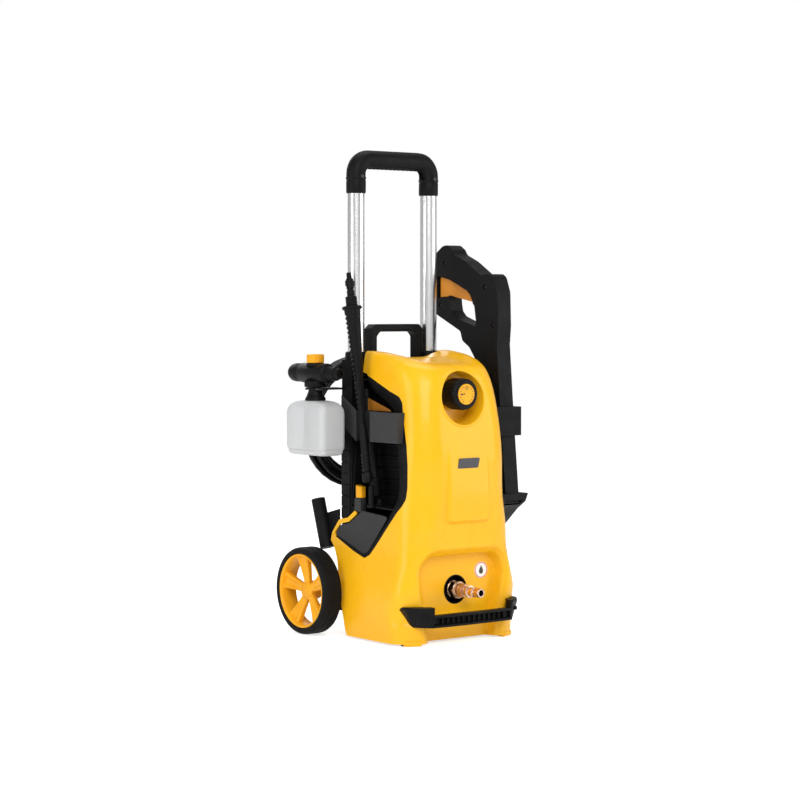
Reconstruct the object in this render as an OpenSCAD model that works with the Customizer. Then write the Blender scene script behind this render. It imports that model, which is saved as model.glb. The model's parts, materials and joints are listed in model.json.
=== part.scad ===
// Electric pressure washer: an upright machine on two wheels, with a telescopic handle, a stored
// trigger gun, two lances, a foam lance and a coiled high-pressure hose.
// Millimetres. +Z is up, -Y is the front, and the origin is on the floor under the middle of its box.

/* [Body] */
// Height of the top of the yellow cover above the floor
cover_top = 486; // [480:1:490]
// Thickness of the moulded walls
wall = 3; // [2.5:0.1:3.4]
// Half the width of the rear housing
housing_half = 102; // [101:0.5:103]
// Y of the rear face of the rear housing
housing_back = 97; // [96:0.5:98]
// Radius of the round recess that holds the power knob
recess_r = 45; // [43:0.5:47]
// Height of the middle of the knob's recess above the floor
recess_z = 410.5; // [409:0.5:412]
// Height of the power knob's axis above the floor
knob_z = 417; // [414:1:419]
// Radius of the power knob
knob_r = 27; // [24:0.5:29]
// Half the width of the arched inset round the water inlet
arch_half = 87; // [84:1:88]
// Height of the water inlet above the floor
inlet_z = 87; // [84:1:90]

/* [Telescopic handle] */
// Distance of each handle tube from the middle of the machine
tube_x = 79; // [78:0.5:80]
// Y of the handle tubes
tube_y = 75; // [74.5:0.5:75.5]
// Outer radius of the handle tubes
tube_r = 14.5; // [14:0.1:14.6]
// Height of the top of the extended handle
handle_top = 832; // [826:1:836]

/* [Wheels] */
// Radius of each wheel
wheel_r = 75; // [72:1:76]
// Width of each tyre
wheel_w = 38; // [34:1:38]
// Distance of the outer face of each wheel from the middle
wheel_out = 169; // [168:1:170]
// Y of the wheel axle
axle_y = 117; // [116:1:118]
// Radius of the steel axle
axle_r = 6; // [5.5:0.1:6.5]
// Number of spokes in each wheel
spokes = 5; // [4:1:6]

/* [Motor and pump] */
// X of the upright shaft of the motor
motor_x = 10; // [8:1:12]
// Y of the upright shaft of the motor
motor_y = -5; // [-7:1:-4]
// Outer radius of the motor can
motor_r = 48; // [44:0.5:49]
// Distance of each piston from the shaft
piston_ring = 20; // [19:0.5:21]

/* [Accessories] */
// Tilt of the stored lances, in degrees
lance_tilt = 8.65; // [8:0.05:9]
// X of the middle of the stored gun
gun_x = 150; // [149:0.5:150.5]
// Thickness of the gun across its two shells
gun_w = 30; // [28:1:31]
// X of the middle of the foam bottle
foam_x = -150; // [-151:0.5:-149]
// Y of the middle of the foam bottle
foam_y = 96; // [95:0.5:97]

/* [Hose] */
// Outer diameter of the high-pressure hose
hose_d = 9; // [8.5:0.1:9.2]
// Radius of the middle of the wound turns
coil_r = 102; // [101:0.5:103]
// Thickness of the bundle of turns
coil_w = 28; // [27:0.5:28.5]

/* [Hidden] */
$fn = 48;

// The machine is drawn about the middle of its width, with Y counted from a line near its middle,
// and frame_y brings the middle of its box to the origin.
frame_y = -12;
fit = 0.06;          // radial clearance of a hinge pin
gap = 0.5;           // clearance between pieces that move apart
cover_rear = 110;    // the cover's sections run back to here before its side outline trims them
lance_a = [-112, -3, 266];
lance_b = [-80, 16, 240];
gun_cut = 300;       // half-depth of the long cutters
coil_c = [-10, 162, 362];
outlet = [40, housing_back, 150];
grip_half = 96;
rim_r = wheel_r - 11;
hub_out = wheel_out - 13;

// The cover's half-width, front and corner radius at each height, from the skirt up to the top.
WIDTHS = [[0, 128], [60, 128], [90, 126], [150, 113], [200, 111], [300, 103], [364, 98],
    [400, 96], [430, 94], [455, 92], [470, 90], [480, 88], [cover_top, 84]];
FRONTS = [[0, -120], [60, -121], [90, -121], [150, -122], [200, -129], [300, -132], [364, -126],
    [400, -121], [430, -117], [455, -108], [470, -92], [480, -62], [cover_top, -20]];
CORNERS = [[0, 45], [60, 40], [90, 32], [150, 38], [200, 50], [250, 58], [300, 53], [364, 46],
    [400, 48], [430, 54], [455, 60], [470, 62], [480, 62], [cover_top, 60]];
LEVELS = [4, 60, 90, 150, 200, 250, 300, 364, 400, 430, 455, 470, 480, cover_top];

// Side outlines, as [Y, Z].
COVER_SIDE = [[-170, 0], [34, 0], [41, 13], [49, 44], [58, 78], [66, 103], [78, 127], [95, 152],
    [104, 161], [100, 175], [81, 198], [56, 203], [32, 220], [24, 222], [24, 449], [37, 452],
    [37, 500], [-170, 500]];
WINDOW = [[60, 459], [24, 447], [-40, 422], [-68, 413], [-77, 403], [-80, 385], [-93, 332],
    [-97, 300], [-98, 262], [-96, 243], [-90, 232], [-73, 213], [-31, 167], [-10, 145], [4, 138],
    [38, 147.5], [90, 168], [94, 174], [78, 191], [54, 196], [28, 213], [60, 222]];
OPENING = [[60, 438], [20, 424], [-16, 406], [-36, 395], [-43, 387], [-46, 375], [-56, 334],
    [-64, 303], [-70, 270], [-70, 252], [-64, 236], [-57, 224], [-55, 215], [20, 219], [28, 222],
    [60, 222]];
POCKET = [[20, 217.5], [-56, 212], [-22, 172], [-5, 151], [3, 145], [11, 143.5], [88, 170.5],
    [91, 174.5], [77, 189], [53, 194], [27, 211]];
GUN = [[122, 660], [105, 671], [92, 673], [77, 664], [71, 655], [41, 643], [-4, 617], [-11, 620],
    [-28, 620], [-37, 614], [-47, 588], [-49, 530], [-46, 497], [-54, 404], [-60, 340],
    [-72, 222], [-32, 222], [-14, 340], [-6, 404], [2, 457], [30, 492], [49, 503], [55, 520],
    [122, 549], [134, 562], [134, 648]];
FINGERS = [[87, 584], [24, 571], [16, 565], [10, 528], [45, 537], [73, 546], [83, 555], [86, 568]];
TRIGGER = [[118, 616], [92, 611], [66, 601], [48, 602], [33, 603], [20, 601], [17, 585],
    [19, 572], [26, 571], [92, 583.5], [96, 581.5], [118, 580]];
// The gun's shells stop short of the trigger band, and leave room for it to swing inside them.
TRIGGER_GAP = [[120.5, 578.5], [120.5, 618], [92, 613], [68, 604.5], [54, 598.5], [37, 591.5],
    [28, 584], [21, 572], [20, 566], [24, 569], [87, 582.5], [88, 578.5]];
TRIGGER_ROOM = [[120.5, 578.5], [120.5, 640], [90, 648], [40, 628], [12, 608], [12, 566],
    [24, 569.5], [88, 582.5]];

// The hose's route between its outlet and its coil, and from its coil down to its free end.
LEAD = [[40, 112, 150], [41, 124, 150], [45, 136, 152], [52, 147, 159], [60, 155, 171],
    [66, 160, 187], [69, 162, 204], [68, 162, 221], [61, 162, 237], [50, 162, 248],
    [36, 162, 255]];
TAIL = [[102, 162, 330], [102, 162, 312], [102, 162, 294], [102, 162, 276], [102, 162, 258],
    [102, 162, 240]];

// ---- shared shapes ----

// Moves a piece from the drawing's place to its place in the frame.
module placed() translate([0, frame_y, 0]) children();

// A round bar from p to q.
module bar(p, q, r) {
    d = q - p;
    translate(p) rotate([0, acos(d[2] / norm(d)), atan2(d[1], d[0])]) cylinder(r = r, h = norm(d));
}

// A disc or bar along Y from y0 to y1, round the line through x and z.
module along_y(x, z, y0, y1, r) translate([x, y1, z]) rotate([90, 0, 0]) cylinder(r = r, h = y1 - y0);

// A disc or bar along X from x0 to x1, round the line through y and z.
module along_x(y, z, x0, x1, r) translate([x0, y, z]) rotate([0, 90, 0]) cylinder(r = r, h = x1 - x0);

// A box between two corners.
module box(a, b) translate(a) cube(b - a);

// A [Y, Z] outline, drawn out along X from x0 to x1.
module side_slab(points, x0, x1)
    translate([x0, 0, 0]) rotate([90, 0, 90]) linear_extrude(height = x1 - x0) polygon(points);

// An [X, Z] outline, drawn out along Y from y0 to y1.
module front_slab(points, y0, y1)
    translate([0, y1, 0]) rotate([90, 0, 0]) linear_extrude(height = y1 - y0) polygon(points);

function arc(cx, cy, r, a0, a1, steps) =
    [for (i = [0:steps]) let (a = a0 + (a1 - a0) * i / steps) [cx + r * cos(a), cy + r * sin(a)]];

// One level section of the cover, inset by t.
function cover_section(z, t) =
    let (w = lookup(z, WIDTHS) - t, f = lookup(z, FRONTS) + t, r = max(lookup(z, CORNERS) - t, 4))
    [for (p = concat([[w, cover_rear]], arc(w - r, f + r, r, 0, -90, 6),
        arc(r - w, f + r, r, -90, -180, 6), [[-w, cover_rear]])) [p[0], p[1], z]];

// A closed solid through equal loops of points, each one above the last.
module loft(loops) {
    n = len(loops[0]);
    points = [for (l = loops) for (p = l) p];
    sides = [for (k = [0:len(loops) - 2]) for (i = [0:n - 1]) let (j = (i + 1) % n)
        for (f = [[k * n + i, k * n + j, (k + 1) * n + j],
            [k * n + i, (k + 1) * n + j, (k + 1) * n + i]]) f];
    ends = [[for (i = [n - 1:-1:0]) i], [for (i = [0:n - 1]) (len(loops) - 1) * n + i]];
    polyhedron(points, concat(sides, ends), convexity = 6);
}

// The cover's filled shape, inset by t all round.
module body_solid(t = 0, low = 4)
    loft([for (z = LEVELS) let (h = z == 4 ? low : z == cover_top ? z - t : z) cover_section(h, t)]);

// A skin of the cover's shape, between two insets.
module body_skin(t0, t1) difference() {
    body_solid(t0);
    body_solid(t1, 3);
}

// A tube swept along a route of points, with sides flats.
function sub(a, b) = [a[0] - b[0], a[1] - b[1], a[2] - b[2]];
function unit(v) = v / norm(v);
function heading(route, i) =
    unit(sub(route[min(i + 1, len(route) - 1)], route[max(i - 1, 0)]));
function ring(route, i, r, sides) =
    let (t = heading(route, i), u = unit(cross(t, [1, 0.2, 0.1])), v = cross(t, u))
    [for (k = [0:sides - 1]) route[i] + r * (cos(360 * k / sides) * u + sin(360 * k / sides) * v)];
module swept(route, r, sides = 8) loft([for (i = [0:len(route) - 1]) ring(route, i, r, sides)]);

// ---- body shells ----

function arch_outline(t) = concat([[arch_half - 20 + t, -10]], arc(arch_half - 30, 117, 30 + t, 0, 90, 5),
    arc(30 - arch_half, 117, 30 + t, 90, 180, 5), [[20 - arch_half - t, -10]]);

module front_cover() color("gold") placed() difference() {
    union() {
        difference() {
            intersection() {
                body_skin(0, wall);
                side_slab(COVER_SIDE, -140, 140);
            }
            side_slab(WINDOW, -140, 140);
        }
        intersection() {
            body_solid();
            union() {
                front_slab(arch_outline(wall), -200, -96);
                along_y(-2, recess_z, -200, -82, recess_r + wall);
                for (s = [-1, 1]) box([min(s * 85, s * 130), -126, 4], [max(s * 85, s * 130), -80, 8]);
            }
        }
    }
    front_slab(arch_outline(0), -200, -96 - wall);
    along_y(-2, recess_z, -200, -85, recess_r);
    along_y(0, knob_z, -100, -70, 5);
    along_y(0, inlet_z, -120, -80, 23.3);
}

module side_trims() color([0.1, 0.1, 0.1]) placed() intersection() {
    body_skin(0.5, wall);
    difference() {
        side_slab(WINDOW, -140, 140);
        side_slab(OPENING, -gun_cut, gun_cut);
        side_slab(POCKET, -gun_cut, gun_cut);
        box([-gun_cut, 23.9, 0], [gun_cut, 120, 213]);
        box([-gun_cut, 23.9, 212], [gun_cut, 120, 500]);
    }
}

module pocket_plate() color([0.24, 0.24, 0.25]) placed() {
    intersection() {
        body_skin(0.5, wall);
        side_slab(POCKET, -140, 0);
    }
    box([-110, 24.2, 217], [-107.5, 38, 238]);
    box([-110, 24.2, 226.2], [-97, 38, 238]);
}

module side_liners() color([0.13, 0.13, 0.13]) placed() {
    intersection() {
        body_solid(wall + 0.3);
        difference() {
            box([-120, -88, 222], [-59, 56, 443]);
            box([-130, -85, 226], [-62, 53, 440]);
        }
    }
    for (p = [lance_a, lance_b]) bar([p[0] + 6, p[1] - 2, 226], [p[0] + 6, p[1] - 2, p[2] - 4], 6);
    intersection() {
        body_skin(0.5, wall);
        union() {
            side_slab(OPENING, 0, 140);
            side_slab(POCKET, 0, 140);
        }
        box([0, -170, 0], [140, 23.9, 500]);
    }
}

// Plan outlines of the rear housing below, beside and above the lance recess, inset by t.
function plan_low(t) = [[housing_half - t, 24.5 - t], [housing_half - t, 85], [90, housing_back - t],
    [-90, housing_back - t], [t - housing_half, 85], [t - housing_half, 24.5 - t]];
function plan_mid(t) = [[housing_half - t, 24.5 - t], [housing_half - t, 85], [90, housing_back - t],
    [-90, housing_back - t], [t - housing_half, 85], [t - housing_half, 56.5 + t / 2],
    [-58 + t, 56.5 + t / 2], [-58 + t, 24.5 - t]];
function plan_top(t) = [[housing_half - t, 38 + t], [housing_half - t, 85], [90, housing_back - t],
    [-90, housing_back - t], [t - housing_half, 85], [t - housing_half, 58], [-94 + t, 54],
    [-94 + t, 38 + t]];

// Height of the foot of the rear housing's raised panel i, on its left flank.
function louvre_z(i) = 201.3 + 19.4 * i;

module storey(points, z0, z1) translate([0, 0, z0]) linear_extrude(height = z1 - z0) polygon(points);

module rear_housing() color([0.12, 0.12, 0.12]) placed() {
    difference() {
        union() {
            storey(plan_low(0), 34, 221.5);
            storey(plan_mid(0), 221.5, 446);
            storey(plan_top(0), 446, 472);
            for (i = [0:6])
                box([-housing_half - 2, 60, louvre_z(i)], [-housing_half, 84, louvre_z(i) + 17.4]);
        }
        storey(plan_low(wall), 30, 218.5);
        storey(plan_mid(wall), 218, 446);
        storey(plan_top(wall), 445, 469);
        for (s = [-1, 1]) translate([s * tube_x, tube_y, 460]) cylinder(r = 16.5, h = 20);
        for (s = [-1, 1]) translate([s * 91 - 8, 84, 33]) cube([16, 16, 66]);
        along_y(outlet[0], outlet[2], 90, 100, 8);
        along_y(-60, 60, 90, 100, 7);
    }
    hose_hook();
    accessory_socket();
}

module hose_hook() {
    box([coil_c[0] - 15, housing_back, 438], [coil_c[0] + 15, 184, 448]);
    box([coil_c[0] - 15, 179, 448], [coil_c[0] + 15, 184, 474]);
}

module accessory_socket() {
    low = [-110, 118, 146];
    high = [-110, 145, 229];
    difference() {
        union() {
            bar(low, high, 12);
            difference() {
                side_slab([[90, 150], [90, 215], [130, 205], [120, 150]], -105, -102);
                bar(low, high, 11);
            }
        }
        bar(low + 0.1 * (high - low), low + 1.1 * (high - low), 9);
    }
}

module chassis_base() color([0.15, 0.15, 0.15]) placed() difference() {
    union() {
        box([-98.5, -60, 34], [98.5, 84, 38]);
        for (s = [-1, 1]) {
            translate([s * 91 - 7, 55, 38]) cube([14, axle_y - 55, 59]);
            along_x(axle_y, wheel_r, s * 91 - 7, s * 91 + 7, 22);
        }
        for (a = [45:90:315])
            translate([motor_x + 28 * cos(a), motor_y + 28 * sin(a), 38]) cylinder(r = 6, h = 7);
    }
    along_x(axle_y, wheel_r, -110, 110, axle_r);
}

module bumper() color([0.09, 0.09, 0.09]) placed() difference() {
    translate([0, 0, 33]) linear_extrude(height = 34)
        polygon([[-120, -98], [-121, -118], [-104, -138], [-80, -149], [-40, -151], [40, -151],
            [80, -149], [104, -138], [121, -118], [120, -98], [100, -98], [84, -134], [40, -137],
            [-40, -137], [-84, -134], [-100, -98]]);
    body_solid(0);
}

module front_feet() color([0.1, 0.1, 0.1]) placed()
    for (s = [-1, 1]) translate([s * 104, -98, 0]) cylinder(r = 9, h = 4);

// ---- handles ----

module carry_handle() color([0.1, 0.1, 0.1]) placed()
    front_slab([[-56, 472], [-56, 525], [-49, 533], [49, 533], [56, 525], [56, 472], [40, 472],
        [40, 510], [34, 517], [-34, 517], [-40, 510], [-40, 472]], tube_y - 14, tube_y + 8);

module tube_sleeves() color([0.1, 0.1, 0.1]) placed() for (s = [-1, 1]) difference() {
    union() {
        translate([s * tube_x, tube_y, 120]) cylinder(r = 16.5, h = 352);
        translate([s * tube_x, tube_y, 472]) cylinder(r = 19, h = 14);
        box([s * tube_x - 8, 50, 472], [s * tube_x + 8, 66, 486]);
    }
    translate([s * tube_x, tube_y, 110]) cylinder(r = tube_r + 0.4, h = 400);
    along_y(s * tube_x, 479, 49, 58.5, 4.8);
}

module handle_tubes() color("silver") placed() for (s = [-1, 1])
    translate([s * tube_x, tube_y, 405]) difference() {
        cylinder(r = tube_r, h = 370);
        translate([0, 0, -1]) cylinder(r = tube_r - 1.6, h = 372);
    }

function grip_outline() = concat(
    [[grip_half, handle_top - 52]], arc(grip_half - 28, handle_top - 28, 28, 0, 90, 6),
    arc(28 - grip_half, handle_top - 28, 28, 90, 180, 6), [[-grip_half, handle_top - 52]],
    [[-62, handle_top - 52], [-62, handle_top - 45], [-55, handle_top - 38],
     [55, handle_top - 38], [62, handle_top - 45], [62, handle_top - 52]]);

module handle_grip() color([0.1, 0.1, 0.1]) placed() difference() {
    union() {
        front_slab(grip_outline(), tube_y - 17, tube_y + 17);
        for (s = [-1, 1]) translate([s * tube_x, tube_y, handle_top - 74]) cylinder(r = 17, h = 23);
    }
    for (s = [-1, 1]) {
        translate([s * tube_x, tube_y, handle_top - 80]) cylinder(r = tube_r, h = 23);
        along_y(s * tube_x, handle_top - 46, 50, 64, 3.2);
    }
}

module grip_screws() color("dimgray") placed()
    for (s = [-1, 1]) along_y(s * tube_x, handle_top - 46, 59, 64, 3.2);

module lock_buttons() color([0.12, 0.12, 0.12]) placed()
    for (s = [-1, 1]) along_y(s * tube_x, 479, 46, 54, 4.5);

// ---- wheels ----

module wheel_axle() color("silver") placed() along_x(axle_y, wheel_r, -150, 150, axle_r);

module axle_clips() color("gray") placed() for (s = [-1, 1]) difference() {
    along_x(axle_y, wheel_r, s > 0 ? 148 : -149.5, s > 0 ? 149.5 : -148, 9.5);
    along_x(axle_y, wheel_r, -160, 160, axle_r);
}

// A tyre on the side s, -1 or 1.
module tyre(s) translate([s * (wheel_out - wheel_w / 2), axle_y, wheel_r]) rotate([0, 90, 0])
    rotate_extrude($fn = 72) polygon([[rim_r, -16], [rim_r + 4, -wheel_w / 2], [wheel_r - 3, -wheel_w / 2],
        [wheel_r, 4 - wheel_w / 2], [wheel_r, wheel_w / 2 - 4], [wheel_r - 3, wheel_w / 2],
        [rim_r + 4, wheel_w / 2], [rim_r, 16]]);

// A spoked rim on the side s, bored for the axle.
module rim(s) translate([s * (wheel_out - wheel_w / 2), axle_y, wheel_r]) rotate([0, 90, 0])
    difference() {
        union() {
            rotate_extrude($fn = 72) translate([rim_r - 5, -15]) square([4.8, 30]);
            translate([0, 0, s > 0 ? -wheel_w / 2 : 13 - wheel_w / 2])
                cylinder(r = 16, h = wheel_w - 13);
            for (k = [0:spokes - 1]) rotate([0, 0, 360 * k / spokes + 5])
                translate([0, 0, s > 0 ? -1 : -7]) linear_extrude(height = 8)
                    polygon([[12, -7], [rim_r - 3, -17], [rim_r - 3, 17], [12, 7]]);
        }
        translate([0, 0, s > 0 ? -20 : -4]) cylinder(r = axle_r + fit, h = 24);
        translate([0, 0, -3]) cylinder(r = 10.5, h = 6);
    }

module tyre_left() color([0.12, 0.12, 0.12]) placed() tyre(-1);
module tyre_right() color([0.12, 0.12, 0.12]) placed() tyre(1);
module rim_left() color("gold") placed() rim(-1);
module rim_right() color("gold") placed() rim(1);

// ---- controls and fittings on the front ----

module power_knob() color([0.1, 0.1, 0.1]) placed() {
    along_y(0, knob_z, -128, -88, knob_r);
    along_y(0, knob_z, -88, -60, 4);
}

module knob_disc() color("gold") placed() along_y(0, knob_z, -129.5, -128, 17);

module power_switch() color([0.2, 0.2, 0.2]) placed() difference() {
    box([-15, -79, knob_z - 17], [15, -50, knob_z + 17]);
    along_y(0, knob_z, -90, -58, 4 + fit);
}

module nameplate() color([0.2, 0.2, 0.2]) placed()
    front_slab([[-25, 289], [20, 289], [25, 311], [-20, 311]], -134.5, -132.1);

module water_inlet() color("peru") placed() difference() {
    union() {
        along_y(0, inlet_z, -112, -86, 15);
        along_y(0, inlet_z, -128, -112, 11.5);
        along_y(0, inlet_z, -86, -74, 9);
    }
    along_y(0, inlet_z, -130, -70, 5);
}

module inlet_nipple() color("rosybrown") placed() difference() {
    union() {
        along_y(0, inlet_z, -168, -128, 8);
        along_y(0, inlet_z, -140, -134, 10.5);
    }
    along_y(0, inlet_z, -170, -120, 5);
}

// ---- motor and pump ----

// A ring or a filled disc round the motor's shaft.
module on_shaft(z0, z1, r, hole = 0) translate([motor_x, motor_y, z0]) difference() {
    cylinder(r = r, h = z1 - z0);
    if (hole > 0) translate([0, 0, -1]) cylinder(r = hole, h = z1 - z0 + 2);
}

// Its children, once at each of the three pistons.
module at_pistons() for (a = [30:120:270])
    translate([motor_x + piston_ring * cos(a), motor_y + piston_ring * sin(a), 0]) children();

module valve_head() color("silver") placed() difference() {
    on_shaft(45, 80, 38);
    at_pistons() translate([0, 0, 60]) cylinder(r = 6, h = 30);
}

module pump_body() color("lightgray") placed() on_shaft(80, 132, 42, 36);

module pistons() color("gainsboro") placed() at_pistons() {
    translate([0, 0, 62]) cylinder(r = 6, h = 46);
    translate([0, 0, 108]) cylinder(r = 9, h = 3);
}

module piston_springs() color("slategray") placed() at_pistons() difference() {
    union() {
        for (i = [0:4]) translate([0, 0, 80 + 6.25 * i]) cylinder(r = 9, h = 3);
        translate([6.6, -1, 80]) cube([2, 2, 28]);
    }
    translate([0, 0, 79]) cylinder(r = 6.6, h = 30);
}

module motor_housing() color("gray") placed() {
    on_shaft(132, 138, motor_r, 13);
    on_shaft(138, 262, motor_r, motor_r - 2.5);
    on_shaft(262, 268, motor_r, 13);
}

module motor_stator() color("darkred") placed() on_shaft(165, 235, motor_r - 2.5, 28);

module motor_rotor() color("lightslategray") placed() {
    on_shaft(118, 292, 6);
    on_shaft(166, 234, 27.4, 6);
}

module wobble_plate() color("silver") placed() difference() {
    on_shaft(119, 127, 28);
    on_shaft(118, 130, 6);
    translate([motor_x, motor_y, 119]) rotate([6, 0, 0]) translate([-40, -40, -10]) cube([80, 80, 10.2]);
}

module motor_fan() color([0.2, 0.2, 0.2]) placed() {
    on_shaft(278, 290, 10, 6);
    on_shaft(278, 280, 40, 10);
    translate([motor_x, motor_y, 280]) for (k = [0:8]) rotate([0, 0, 40 * k])
        translate([14, -1, 0]) cube([25, 2, 9]);
}

module motor_bearings() color("silver") placed() {
    on_shaft(132, 139, 13, axle_r + fit);
    on_shaft(262, 269, 13, axle_r + fit);
}

module run_capacitor() color("white") placed() translate([80, 30, 240]) cylinder(r = 15, h = 60);

module inlet_pipe() color([0.2, 0.2, 0.2]) placed() difference() {
    union() {
        along_y(0, inlet_z, -74, -62, 7);
        translate([0, -62, inlet_z]) sphere(r = 7);
        bar([0, -62, inlet_z], [0, -62, 64], 7);
        translate([0, -62, 64]) sphere(r = 7);
        along_y(0, 64, -62, -30, 7);
    }
    on_shaft(40, 90, 38);
    on_shaft(80, 140, 42);
}

module pressure_pipe() color([0.2, 0.2, 0.2]) placed() {
    route = [[motor_x, 33.5, 62], [motor_x, 68, 62], [40, 68, 62], [40, 68, 150], [40, 90, 150]];
    for (i = [0:3]) bar(route[i], route[i + 1], 5);
    for (i = [1:3]) translate(route[i]) sphere(r = 5);
}

module hose_outlet() color("peru") placed() {
    along_y(outlet[0], outlet[2], 90, 97, 8);
    along_y(outlet[0], outlet[2], 97, 101, 12);
    along_y(outlet[0], outlet[2], 101, 112, 10);
}

module cable_gland() color([0.1, 0.1, 0.1]) placed() difference() {
    union() {
        along_y(-60, 60, 90, 97, 7);
        along_y(-60, 60, 97, 108, 10);
    }
    along_y(-60, 60, 88, 110, 3.6);
}

// ---- accessory holders ----

module accessory_brackets() color([0.27, 0.27, 0.28]) placed() {
    difference() {
        union() {
            box([-113, -84, 336], [-110, -12, 387]);
            box([-113, -12, 336], [-98, -9, 387]);
            box([-101, -12, 336], [-98, 33, 387]);
            box([-113, 30, 336], [-98, 33, 387]);
            box([-113, -84, 336], [-92, -81, 387]);
            side_slab([[30, 336], [30, 387], [72, 412], [72, 362]], -113, -110);
            box([-113, 60, 370], [-104, 70, 386]);
        }
        body_solid(0);
    }
    difference() {
        union() {
            box([-140, foam_y - 12, 421], [-housing_half, foam_y + 12, 424.5]);
            translate([foam_x, foam_y, 421]) cylinder(r = 18.5, h = 3.5);
        }
        translate([foam_x, foam_y, 410]) cylinder(r = 15, h = 20);
        box([-170, foam_y - 14.8, 410], [foam_x, foam_y + 14.8, 430]);
    }
}

module gun_holder() color([0.1, 0.1, 0.1]) placed() {
    difference() {
        union() {
            box([90, -72, 340], [169, 6, 390]);
        }
        side_slab([[-64, 330], [-58, 400], [-1, 400], [-11, 330]], gun_x - 18, gun_x + 16);
        body_solid(0);
        box([80, -90, 330], [100, 30, 400]);
    }
    difference() {
        side_slab([[-83, 240], [-76, 225], [-55, 211], [-20, 180], [-18, 240]], 100, 176);
        box([gun_x - 18, -77, 219], [gun_x + 18, -24, 250]);
        body_solid(0);
    }
}

// ---- trigger gun ----

// One half of the gun, from x0 to x1, hollow for the trigger and the barrel.
module gun_half(x0, x1) difference() {
    side_slab(GUN, x0, x1);
    side_slab(FINGERS, x0 - 1, x1 + 1);
    side_slab(TRIGGER_GAP, x0 - 1, x1 + 1);
    side_slab(TRIGGER_ROOM, gun_x - 10, gun_x + 10);
    bar([gun_x, -20, 590], [gun_x, -51, 226], 8);
    along_x(27, 597, gun_x - 13, gun_x + 13, 2.5);
}

module gun_shell_left() color([0.12, 0.12, 0.12]) placed() gun_half(gun_x - gun_w / 2, gun_x);
module gun_shell_right() color([0.12, 0.12, 0.12]) placed() gun_half(gun_x, gun_x + gun_w / 2);
module gun_barrel() color("peru") placed() bar([gun_x, -21.5, 572], [gun_x, -51, 226.5], 7.5);

module gun_trigger() color("orange") placed() difference() {
    union() {
        side_slab(TRIGGER, gun_x - 9, gun_x + 9);
        along_x(27, 597, gun_x - 9, gun_x + 9, 7);
    }
    along_x(27, 597, gun_x - 20, gun_x + 20, 2.5 + fit);
    box([gun_x - 5, 90, 576], [gun_x + 5, 116, 600]);
    along_x(102, 595, gun_x - 7.5, gun_x + 7.5, 2 + fit);
}

module trigger_pin() color("silver") placed() along_x(27, 597, gun_x - 13, gun_x + 13, 2.5);

module trigger_lock() color("orange") placed() {
    box([gun_x - 4, 94, 582], [gun_x + 4, 104, 598]);
    along_x(102, 595, gun_x - 7, gun_x + 7, 2);
}

// ---- lances ----

// Its children, drawn along the axis of the lance stored at p.
module on_lance(p) translate(p) rotate([-lance_tilt, 0, 0]) children();

// A turned shape from [radius, height] steps, closed on the axis.
module turned(steps) rotate_extrude($fn = 48)
    polygon(concat([[0, steps[0][1]]], steps, [[0, steps[len(steps) - 1][1]]]));

module lance_body() color([0.12, 0.12, 0.12]) placed() on_lance(lance_a)
    turned([[7, 18.5], [7, 60], [6.5, 100], [8.5, 180], [14, 296], [17, 296], [17, 301], [10, 301],
        [10, 318], [6.5, 318], [6.5, 350], [4.5, 350], [4.5, 359]]);

module lance_nozzle() color([0.15, 0.15, 0.15]) placed() on_lance(lance_a)
    turned([[5, 0], [8, 2], [9, 8], [9, 18]]);

module turbo_lance() color([0.12, 0.12, 0.12]) placed() on_lance(lance_b)
    turned([[9, 0], [10, 3], [10, 26], [13, 27], [13, 31], [8, 34], [8, 120], [5, 130], [5, 185]]);

// ---- foam lance ----

// An upright block with its edges cut at 45 degrees, between two heights.
module chamfered_block(hx, hy, c, z0, z1) translate([foam_x, foam_y, z0]) linear_extrude(height = z1 - z0)
    polygon([[c - hx, -hy], [hx - c, -hy], [hx, c - hy], [hx, hy - c], [hx - c, hy], [c - hx, hy],
        [-hx, hy - c], [-hx, c - hy]]);

module foam_bottle() color("white", 0.8) placed() difference() {
    union() {
        chamfered_block(24, 53, 8, 310, 314);
        chamfered_block(26, 55, 9, 314, 396);
        chamfered_block(20, 46, 8, 396, 403);
    }
    chamfered_block(24, 53, 8, 316, 394);
    translate([foam_x, foam_y, 392]) cylinder(r = 10, h = 20);
}

module foam_head() color([0.12, 0.12, 0.12]) placed() {
    translate([foam_x, foam_y, 403]) cylinder(r = 14, h = 22);
    translate([foam_x, foam_y, 425]) cylinder(r = 19, h = 12);
    difference() {
        union() {
            along_y(foam_x, 450, 60, 131.5, 17);
            along_y(foam_x, 450, 34, 60, 12);
            along_y(foam_x, 450, 24, 34, 9);
        }
        translate([foam_x, foam_y, 455]) cylinder(r = 4 + fit, h = 30);
    }
}

module foam_knob() color("gold") placed() {
    translate([foam_x, foam_y, 467.3]) cylinder(r = 15, h = 15);
    translate([foam_x, foam_y, 457]) cylinder(r = 4, h = 11);
}

module foam_nozzle() color([0.1, 0.1, 0.1]) placed() {
    along_y(foam_x, 450, 132, 163, 16);
}

module spare_nozzle() color("gold") placed() box([-110, 21, 238.5], [-98, 37, 260]);

// ---- hose ----

module hose_coil() color([0.08, 0.08, 0.08]) placed() translate(coil_c) rotate([90, 0, 0])
    rotate_extrude($fn = 72) translate([coil_r, 0]) circle(d = coil_w, $fn = 24);

module hose_lead() color([0.08, 0.08, 0.08]) placed() {
    swept(LEAD, hose_d / 2);
    swept(TAIL, hose_d / 2);
}

module hose_end_fitting() color("peru") placed() translate([102, 162, 0]) {
    translate([0, 0, 216]) cylinder(r = 8, h = 24);
    translate([0, 0, 190]) cylinder(r = 10, h = 26);
}

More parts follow.
